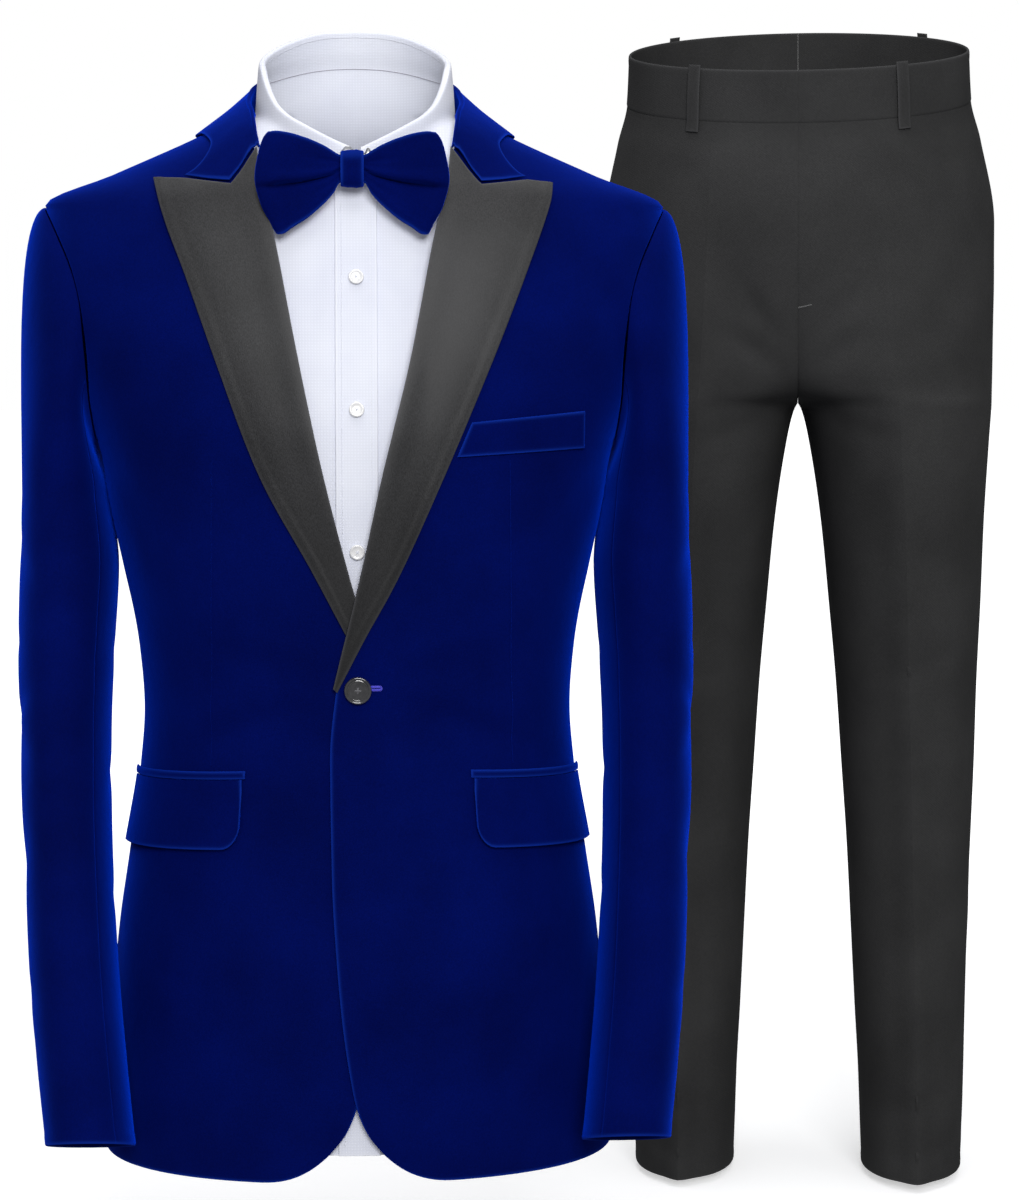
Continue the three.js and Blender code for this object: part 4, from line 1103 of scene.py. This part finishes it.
def shirt_front_grid():
    levels = lerp(SHIRT_TOP, SHIRT_HEM, stops(SHIRT_TOP - SHIRT_HEM, 5.5))
    start = np.maximum(neck_angle(levels), front_angle(SEAM / 2, levels, True))[:, None]
    level = levels[:, None]
    share = stops(225, COARSE_STEP)[None, :] ** 1.15
    return body_point(level, lerp(start, side_angle(level, False, True), share), True)


def shirt_back_grid():
    levels = lerp(SHIRT_TOP, SHIRT_HEM, stops(SHIRT_TOP - SHIRT_HEM, COARSE_STEP))
    share = stops(500, COARSE_STEP)[None, :]

    def angles(level):
        start = side_angle(level, True, True)
        return lerp(start, 2 * math.pi - start, share)

    level = levels[:, None]
    rows = body_point(level, angles(level), True)
    angle = angles(levels[:1, None])
    top = rows[:1]
    climb = np.linspace(1, 0, 9)[:-1, None]
    neck = stand_point(angle + 0 * climb, top[..., 2] + (2 + neck_rise(angle)) * climb, NECK_CLEAR + COTTON)
    blend = smoothstep(climb, 0, 0.5)[..., None]
    points = np.concatenate([lerp(top + vec(0, 0, (neck[..., 2] - top[..., 2])), neck, blend), rows])
    # Below the neck the middle goes down nearly straight before it follows the back
    x, y, z = (points[..., k] for k in range(3))
    below = np.maximum(0, top[..., 2] + 6 - z)
    straight = (STAND_BACK + NECK_CLEAR + COTTON) * np.sqrt(
        np.maximum(0, 1 - (x / (STAND_HALF + NECK_CLEAR + COTTON)) ** 2)) + 0.14 * below**2 / (below + 14)
    near = (1 - smoothstep(below, 16, 70)) * (1 - smoothstep(np.abs(x), 44, 62)) * (y > 0)
    points[..., 1] = lerp(y, straight, near)
    return points


for name, side in SIDES:
    points = shirt_front_grid()
    relief = fold_relief(points[..., 0], points[..., 2], SHIRT_FOLDS)
    cloth(f"cotton_front_{name}", points, COTTON, cotton, node=f"shirt_front_{name}", side=side,
          edges=("seam", "fold", "fold", "seam"), relief=relief)
cloth("cotton_back", shirt_back_grid(), COTTON, cotton, node="shirt_back",
      edges=("seam", "fold", "seam", "seam"))


def placket_grid():
    levels = lerp(-64, SHIRT_HEM, stops(702, 4))
    level, share = np.meshgrid(levels, lerp(-1, 1, stops(30, 3)), indexing="ij")
    points = on_front(PLACKET_HALF * share, level, COTTON + 0.6 + 0 * level, True)
    # At the top it lies over the stand's front ends
    stand = STAND_FRONT * np.sqrt(1 - (points[..., 0] / STAND_HALF) ** 2) + NECK_CLEAR + COTTON + 0.3
    over = -points[..., 1] - stand
    points[..., 1] = -stand - np.where(over < 8, 0.8 * np.log1p(np.exp(np.minimum(over, 8) / 0.8)), over)
    return points


cloth("cotton_placket", placket_grid(), COTTON, cotton, node="shirt_placket",
      edges=("thin", "fold", "fold", "fold"))
placket_levels = np.linspace(-82, SHIRT_HEM + 6, 400)
placket_paths = []
for side in (-1, 1):
    line = on_front(side * (PLACKET_HALF - 4.5) + 0 * placket_levels, placket_levels,
                    COTTON + 0.95 + 0 * placket_levels, True)
    placket_paths += stitches(line)
thread_piece("placket_stitches", placket_paths, 0.2, white_thread)


def stand_grid():
    v, angle = np.meshgrid(stops(35, 4), lerp(math.radians(1), math.radians(359), stops(440, 4)),
                           indexing="ij")
    seam = neck_level(angle, NECK_CLEAR) + 0.3 + neck_rise(angle) * STAND_TUCK
    top = fold_level(angle) - LEAF_FOLD - LEAF_TAIL - 0.1
    return stand_point(angle, lerp(top, seam, v), lerp(-0.6, NECK_CLEAR - 0.1, v))


cloth("cotton_stand", stand_grid(), COTTON, cotton, node="shirt_collar_stand",
      edges=("plain", "taper", "fold", "fold"))

# Inside the neck the seam of the stand shows as one thin line, a grey thread that is partly the seam and
# partly painted shadow.
band_angle = np.radians(np.linspace(86, 274, 300))
band_level = neck_level(band_angle, NECK_CLEAR) + 0.5 + neck_rise(band_angle) * STAND_TUCK
thread_piece("band_seam", [stand_point(band_angle, band_level, NECK_CLEAR - 0.35)], 0.22, shade_thread)


def leaf_grid():
    rows = np.concatenate([np.linspace(0, 0.3, 16)[:-1], lerp(0.3, 1, stops(50, 3))])
    v, u = np.meshgrid(rows, stops(430, 3.5), indexing="ij")
    share = np.maximum(0, (v - 0.3) / 0.7)
    front = np.radians(lerp(LEAF_FRONT, LEAF_POINT, share))
    angle = lerp(front, 2 * math.pi - front, u)
    start = math.radians(LEAF_FRONT)
    fold = fold_level(lerp(start, 2 * math.pi - start, u))
    turn = math.pi * np.clip((v - 0.1) / 0.2, 0, 1)
    tail = LEAF_TAIL * (1 - np.minimum(v / 0.1, 1))
    rolled = stand_point(angle, fold - LEAF_FOLD * (1 - np.sin(turn)) - tail,
                         LEAF_OUT - LEAF_FOLD * (1 + np.cos(turn)))
    degrees = np.degrees(np.minimum(angle, 2 * math.pi - angle))
    lowest = neck_level(angle, LEAF_OUT + LEAF_FLARE + lerp(36, 4, smoothstep(degrees, 32, 74)))
    level = lerp(fold - LEAF_FOLD, np.maximum(STAND["leaf"](degrees), lowest), share)
    point = stand_point(angle, level, LEAF_OUT + LEAF_FLARE * share**0.7)
    shirt = body_point(level - 1.5, angle, True)
    reach = np.hypot(point[..., 0], point[..., 1])
    short = np.hypot(shirt[..., 0], shirt[..., 1]) + COTTON + 2.2 - reach
    short = short * (1 - smoothstep(degrees, 84, 104))
    clear = 1 + np.where(short > -6, 1.2 * np.log1p(np.exp(np.minimum(short, 60) / 1.2)), 0) / reach
    hanging = point * vec(clear, clear, 1 + 0 * clear)
    return np.where((share > 0)[..., None], hanging, rolled)


cloth("cotton_leaf", leaf_grid(), COTTON, cotton, node="shirt_collar_leaf",
      edges=("plain", "fold", "fold", "fold"))

for k, level in enumerate((-135, -229, -330)):
    button_on_front(f"pearl_button_{k + 1}", f"shirt_button_{k + 1}", 0, level, COTTON + 1, True,
                    radius=5.5, thick=2, profile=DISHED, turn=0, finish=pearl,
                    thread=white_thread, slot="pearl")


# Bow tie
BOW = np.array([-2.5, -98.6, -57.5])
BOW_FORWARD = 8.5
KNOT = {"half": 8.2, "height": 12.5, "depth": 9.5, "power": 3, "bulge": 0.06}
WING = table("share top bottom half", [
    (0, 8.4, -8.6, 3),
    (0.14, 9.8, -10, 3.6),
    (0.22, 12.5, -17.5, 4.4),
    (0.34, 16.5, -25, 5),
    (0.57, 21.8, -35.5, 5.8),
    (0.8, 25.2, -42.5, 5.6),
    (0.94, 26, -46.5, 4.8),
    (1, 25.6, -47, 3.6),
])
WING_END = column((0, 0.06, 0.2, 0.45, 0.7, 0.88, 1), (-1.5, 2, 5.4, 8.2, 4.2, -2.5, -7.5))
WING_START = 0.8
WING_SPAN = 58


def wing_grid():
    """A band folded back on itself: its front layer outwards, round the end, and its back layer inwards."""
    layer_steps = np.linspace(0, 1, 34)
    turn_steps = np.linspace(-1, 1, 9)[1:-1]
    share = np.concatenate([layer_steps, 1 + 0 * turn_steps, layer_steps[::-1]])[None, :]
    layer = np.concatenate([-1 + 0 * layer_steps, turn_steps, 1 + 0 * layer_steps])[None, :]
    v = stops(60, 1.1)[:, None]
    end = WING_END(v) * share**3
    span = smoothstep(share, -0.05, 0.4) * (1 - 0.7 * smoothstep(share, 0.78, 1))
    below = v - 0.525 - 0.02 * np.sin(math.pi * share)
    crease = 2.8 * smoothstep(below, -0.02, 0.028) * np.exp(-np.maximum(below, 0) / 0.1)
    crease = crease + 3.6 * np.exp(-(((below - 0.008) / 0.021) ** 2))
    crease = crease - 1.3 * np.exp(-(((below + 0.07) / 0.06) ** 2))
    crease = crease * span * WING["half"](share) / 5.6 * (1 - smoothstep(layer, -0.6, 0.4))
    second = 0.9 * np.exp(-(((v - 0.24 - 0.02 * share) / 0.05) ** 2) - ((share - 0.32) / 0.17) ** 2)
    third = 0.8 * np.exp(-(((v - 0.74) / 0.06) ** 2) - ((share - 0.36) / 0.16) ** 2)
    gathers = 0.35 * np.cos(v * 2 * math.pi * 4.5) * np.exp(-((share / 0.16) ** 2))
    half = WING["half"](share) - crease - second - third + gathers
    half = half * (0.72 + 0.28 * np.sin(math.pi * v) ** 0.7)
    round_end = 2.2 * np.sqrt(np.maximum(0, 1 - layer**2))
    x = WING_START + WING_SPAN * share + end + round_end
    y = half * layer - BOW_FORWARD * share**1.3
    # Painted shade along the main crease of the front layer.
    painted_crease_shade = 0.9 * np.exp(-(((below - 0.006) / 0.024) ** 2)) * span * (layer < 0)
    return vec(x, y, lerp(WING["top"](share), WING["bottom"](share), v)), painted_crease_shade


def knot_grid():
    v, across = np.meshgrid(np.linspace(0, 1, 56), lerp(-1, 1, stops(16.4)), indexing="ij")
    turn = np.radians(lerp(178, -178, v))
    bulge = 1 + KNOT["bulge"] * np.cos(across * math.pi / 2)
    bulge = bulge - 0.02 * np.cos(across * 8) * np.exp(-(((v - 0.5) / 0.3) ** 2))
    sine, cosine = np.sin(turn), np.cos(turn)
    total = np.abs(cosine / KNOT["depth"]) ** KNOT["power"] + np.abs(sine / KNOT["height"]) ** KNOT["power"]
    radius = total ** (-1 / KNOT["power"])
    return vec(across * KNOT["half"], -radius * cosine * bulge, radius * sine * bulge) + BOW


for name, side in SIDES:
    points, painted_crease_shade = wing_grid()
    cloth(f"velvet_wing_{name}", points, BOW_CLOTH, velvet, node=f"bow_wing_{name}", side=side,
          edges=("fold", "fold", "plain", "plain"),
          move=lambda vertices: vertices + BOW, painted_crease_shade=painted_crease_shade)
points = knot_grid()
# Painted highlight: the knot's top is lighter, as if lit from above.
knot_top_painted_highlight = 0.45 * smoothstep((points - BOW)[..., 2] / KNOT["height"], 0.35, 0.8)
cloth("velvet_knot", points, CLOTH, velvet, node="bow_knot", edges=("plain", "plain", "fold", "fold"),
      light=knot_top_painted_highlight)

BAND = {"out": 1.6, "thick": 1, "height": 16, "drop": 8, "ends": 2.4}


def band_grid():
    v, angle = np.meshgrid(stops(14), np.radians(lerp(BAND["ends"], 360 - BAND["ends"], stops(440, 6))),
                           indexing="ij")
    top = fold_level(angle) - BAND["drop"]
    room = top - neck_level(angle, NECK_CLEAR) - neck_rise(angle) - 2.5
    return stand_point(angle, top - np.minimum(BAND["height"], room) * v, BAND["out"])


cloth("velvet_band", band_grid(), BAND["thick"], velvet, node="bow_band", edges=("fold",) * 4)

HOOK = table("x top", [(-11, -45), (-6, -40.5), (0, -44), (6, -46.5), (9, -41.5), (11, -44)])


def hook_piece():
    """The steel hook that holds the knot to the band: two humps over a plate, bent over at the top."""
    across = np.linspace(-11, 11, 45)
    v, x = np.meshgrid(np.linspace(0, 1, 12), across, indexing="ij")
    level = lerp(HOOK["top"](x), -54, v)
    points = vec(x, -88.1 - 0.35 * np.exp(-((v / 0.12) ** 2)), level)
    back = points - normals(points) * HOOK_STEEL
    vertices = np.concatenate([points.reshape(-1, 3), back.reshape(-1, 3)])
    faces = shell_faces(*x.shape)
    piece = mesh_piece("steel_hook", vertices, faces, steel)
    soft = piece.modifiers.new("rounded", "BEVEL")
    soft.width = 0.00025
    soft.segments = 2
    soft.limit_method = "ANGLE"
    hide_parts("bow_hook")


hook_piece()


# Trousers
TROUSERS = table("level middle outer front back crease ridge", [
    (80, 0, 149, 102, 114, 72, 0),
    (34, 0, 151.5, 105, 117, 73, 0),
    (0, 3, 160, 109, 121, 74, 0.5),
    (-75, 8, 172.5, 114, 128, 76, 2),
    (-150, 24, 172, 116, 131, 79, 3.5),
    (-200, 48, 171.6, 115, 128, 82, 4),
    (-222, 68, 171.2, 112.5, 123, 84, 4.3),
    (-233, 86.2, 171, 111, 121, 86, 4.5),
    (-265, 89.4, 169, 107, 113, 88, 5),
    (-336, 92.7, 164.9, 98, 104, 92, 5.5),
    (-408, 95, 162.4, 89, 95, 94.5, 6),
    (-481, 96.7, 159.2, 83, 88, 96.5, 6),
    (-553, 98.2, 157.3, 79, 83, 98.5, 6),
    (-626, 99.3, 154.5, 77, 80, 100, 6),
    (-700, 100, 152.1, 75, 77, 101.5, 6.5),
    (-773, 101, 150.5, 74, 75, 103, 6.5),
    (-847, 102.3, 149.2, 73, 74, 104.5, 7),
    (-925, 102.5, 146.8, 73, 74, 105, 7),
])


def leg_middle(level):
    """The middle of the leg and half its width."""
    middle = TROUSERS["middle"](level)
    return middle, TROUSERS["outer"](level) - middle


def crease_angle(level):
    middle, half = leg_middle(level)
    return np.arccos(np.clip((TROUSERS["crease"](level) - middle) / half, -1, 1))


def leg_point(level, angle, out):
    """0 is the outside of the leg and a quarter turn its front."""
    middle, half = leg_middle(level)
    depth = np.where(np.sin(angle) >= 0, TROUSERS["front"](level), TROUSERS["back"](level))
    away = (np.abs(angle) - crease_angle(level)) / 0.22
    pressed = 0.9 * np.exp(-np.abs(away) * 5.5) * smoothstep(level, 60, -120)
    lift = out + TROUSERS["ridge"](level) * np.exp(-(away**2)) + pressed
    normal = unit(vec(np.cos(angle) / half, -np.sin(angle) / depth, 0 * half))
    point = vec(middle + half * np.cos(angle), -depth * np.sin(angle), level) + normal * lift[..., None]
    point[..., 2] += WAIST_TILT * point[..., 1] * smoothstep(level, -90, WAIST_SEAM)
    point[..., 0] = np.maximum(point[..., 0], SEAM / 2)
    return point


def inner_angle(level):
    middle, half = leg_middle(level)
    share = (SEAM / 2 - middle) / half
    return np.where(share <= -1, math.pi - SEAM / TROUSERS["front"](level),
                    np.arccos(np.clip(share, -1, 1)))


def leg_grid(direction):
    levels = lerp(WAIST_SEAM - 0.5, TROUSER_HEM, stops(WAIST_SEAM - TROUSER_HEM))
    level = levels[:, None]
    gap = SEAM / TROUSERS["front"](level)
    outside = stops(100)[None, :]
    inside = stops(110)[None, :]
    crease = crease_angle(level)
    angle = np.concatenate([lerp(gap, crease, outside[:, :-1]),
                            lerp(crease, inner_angle(level), inside)], 1)
    points = leg_point(level + 0 * angle, angle * direction, 0 * angle)
    return points[:, ::-1] if direction > 0 else points


# Troughs of the trousers' fronts and backs, on the wearer's own side
TROUSER_FOLDS = {
    "front": [
        (8, -212, 62, -170, 1.9, 9, 4),
        (10, -196, 52, -128, 1.3, 8, 3),
        (20, -238, 90, -262, 1.5, 10, -5),
        (150, -98, 96, -190, 1.2, 14, 6),
        (128, -360, 60, -402, 1.1, 12, -4),
        (140, -440, 70, -470, 1.4, 11, 5),
        (132, -520, 64, -548, 0.9, 12, -4),
        (150, -640, 84, -720, 0.9, 15, 5),
        (134, -842, 60, -868, 1.3, 11, -4),
        (140, -886, 76, -898, 1.0, 8, 3),
    ],
    "back": [
        (10, -212, 82, -178, 2.2, 11, 4),
        (14, -230, 100, -262, 2.0, 12, -5),
        (40, -280, 140, -330, 1.6, 14, 5),
        (20, -60, 110, -110, 1.4, 16, -6),
        (70, -452, 142, -470, 1.9, 11, 4),
        (66, -488, 136, -520, 1.5, 11, -4),
        (80, -640, 140, -700, 1.1, 15, 4),
        (70, -858, 136, -876, 1.5, 11, 4),
    ],
}


def place_trousers(vertices):
    cos_turn, sin_turn = math.cos(TROUSERS_TURN), math.sin(TROUSERS_TURN)
    cos_lean, sin_lean = math.cos(TROUSERS_LEAN), math.sin(TROUSERS_LEAN)
    turn = np.array([[cos_turn, -sin_turn, 0], [sin_turn, cos_turn, 0], [0, 0, 1]])
    lean = np.array([[cos_lean, 0, sin_lean], [0, 1, 0], [-sin_lean, 0, cos_lean]])
    return np.asarray(vertices) @ (lean @ turn).T + TROUSERS_AT


def waistband_grid():
    v, u = np.meshgrid(stops(44, 4), stops(470, 5), indexing="ij")
    level = lerp(WAIST_TOP, WAIST_SEAM + SEAM, v)
    end = np.arccos(SEAM / 2 / TROUSERS["outer"](level))
    return leg_point(level, lerp(end, -end, u), 0.5 + 0 * v)


def loop_grid(angle):
    v, u = np.meshgrid(stops(57, 3), stops(13), indexing="ij")
    level = lerp(WAIST_TOP + 3, WAIST_SEAM - 10, v)
    return leg_point(level, math.radians(angle) - (u - 0.5) * 0.083, CLOTH + 1 + 1.6 * np.sin(math.pi * v))


for name, side in SIDES:
    for part, direction in (("front", 1), ("back", -1)):
        points = leg_grid(direction)
        relief = fold_relief(points[..., 0], points[..., 2], TROUSER_FOLDS[part])
        edge_room = smoothstep(points[..., 0], 1, 8)
        cloth(f"wool_{part}_{name}", points, CLOTH, wool, node=f"trouser_{part}_{name}", side=side,
              edges=("fine", "fold", "fine", "fine"), relief=relief * edge_room,
              move=place_trousers, meets=SEAM / 2)
    cloth(f"wool_band_{name}", waistband_grid(), WAISTBAND, wool, node=f"waistband_{name}", side=side,
          edges=("fold", "fine", "fine", "fine"), move=place_trousers,
          meets=SEAM / 2)
    for part, angle in (("front", 54), ("back", -42)):
        cloth(f"wool_loop_{part}_{name}", loop_grid(angle), LOOP, wool, node=f"belt_loop_{part}_{name}",
              side=side, edges=("fold",) * 4, move=place_trousers)


# The fly ends in a short bar of stitches
TACK_LEVEL = -149.0


def tack_point(x, level):
    """A point on the wearer's left front, by its distance from the middle."""
    middle, half = leg_middle(level)
    angle = np.arccos(np.clip((x - middle) / half, -1, 1))
    return leg_point(np.asarray(level), np.asarray(angle), np.asarray(0.35))


tack_paths = []
for k in range(16):
    x = 0.6 + 0.72 * k
    level = TACK_LEVEL + 0.2 * x
    tack_paths.append([tack_point(x - 0.3, level - 0.6), tack_point(x + 0.3, level + 0.6)])
thread_piece("fly_tack", tack_paths, 0.3, wool_thread, move=place_trousers)


# Camera, floor and light
camera_data = bpy.data.cameras.new("camera")
camera_data.lens = 87.42
camera_data.clip_end = 100
camera = bpy.data.objects.new("camera", camera_data)
camera.location = (0, -2.2, -0.1936)
camera.rotation_euler = (math.radians(90 - 4.708), 0, math.radians(-2.996))
bpy.context.scene.collection.objects.link(camera)
bpy.context.scene.camera = camera


def stage_floor():
    """A white floor that brightens away from the garments, until it can't be told from the backdrop."""
    floor = Finish("floor", Roughness=0.9, Specular_IOR_Level=0.1, Emission_Color=(1, 1, 1, 1))
    floor.colour(floor.ramp(floor.noise(900, 2), (0.3, (0.8, 0.8, 0.81)), (0.7, (0.83, 0.83, 0.84))))
    away = floor.node("VectorMath", {0: floor.place}, operation="LENGTH").outputs["Value"]
    glow = floor.node("MapRange", {"Value": away, "From Min": 1.0, "From Max": 2.6,
                                   "To Min": 0.5, "To Max": 1.0})
    floor.tree.links.new(glow.outputs[0], floor.shader.inputs["Emission Strength"])
    reach = 40
    data = bpy.data.meshes.new("floor")
    corners = [(-reach, -reach, 0), (reach, -reach, 0), (reach, reach, 0), (-reach, reach, 0)]
    data.from_pydata(corners, [], [(0, 1, 2, 3)])
    data.materials.append(floor.material)
    piece = bpy.data.objects.new("floor", data)
    piece.location = (0.2, 0.2, FLOOR / 1000)
    piece.visible_diffuse = False
    piece.visible_glossy = False
    bpy.context.scene.collection.objects.link(piece)


def area_light(name, place, aim, size, power):
    data = bpy.data.lights.new(name, "AREA")
    data.shape = "RECTANGLE"
    data.size, data.size_y = size
    data.energy = power
    light = bpy.data.objects.new(name, data)
    light.location = place
    direction = np.array(place) - np.array(aim)
    flat = math.hypot(direction[0], direction[1])
    light.rotation_euler = (math.atan2(flat, direction[2]), 0, math.atan2(direction[0], -direction[1]))
    bpy.context.scene.collection.objects.link(light)


stage_floor()
area_light("key", (0.35, -3.6, 1.1), (0.15, 0, -0.35), (1.6, 1.4), 100)
area_light("top", (0.2, 0.0, 3.2), (0.2, 0.1, 0), (2.4, 2.0), 60)
area_light("collar", (0, -0.9, 1.1), (0, 0, -0.02), (0.9, 0.5), 3)
area_light("back", (0.5, 3.8, 1.4), (0.2, 0, -0.3), (2.6, 2.0), 6)

world = bpy.data.worlds.new("studio")
bpy.context.scene.world = world
world.use_nodes = True
sky = world.node_tree.nodes["Background"]
sky.inputs["Color"].default_value = (0.97, 0.98, 1, 1)
sky.inputs["Strength"].default_value = 0.34
backdrop = world.node_tree.nodes.new("ShaderNodeBackground")
backdrop.inputs["Color"].default_value = (1, 1, 1, 1)
seen = world.node_tree.nodes.new("ShaderNodeLightPath").outputs["Is Camera Ray"]
either = world.node_tree.nodes.new("ShaderNodeMixShader")
world.node_tree.links.new(seen, either.inputs["Fac"])
world.node_tree.links.new(sky.outputs[0], either.inputs[1])
world.node_tree.links.new(backdrop.outputs[0], either.inputs[2])
world.node_tree.links.new(either.outputs[0], world.node_tree.nodes["World Output"].inputs["Surface"])
bpy.context.scene.view_settings.view_transform = "Standard"
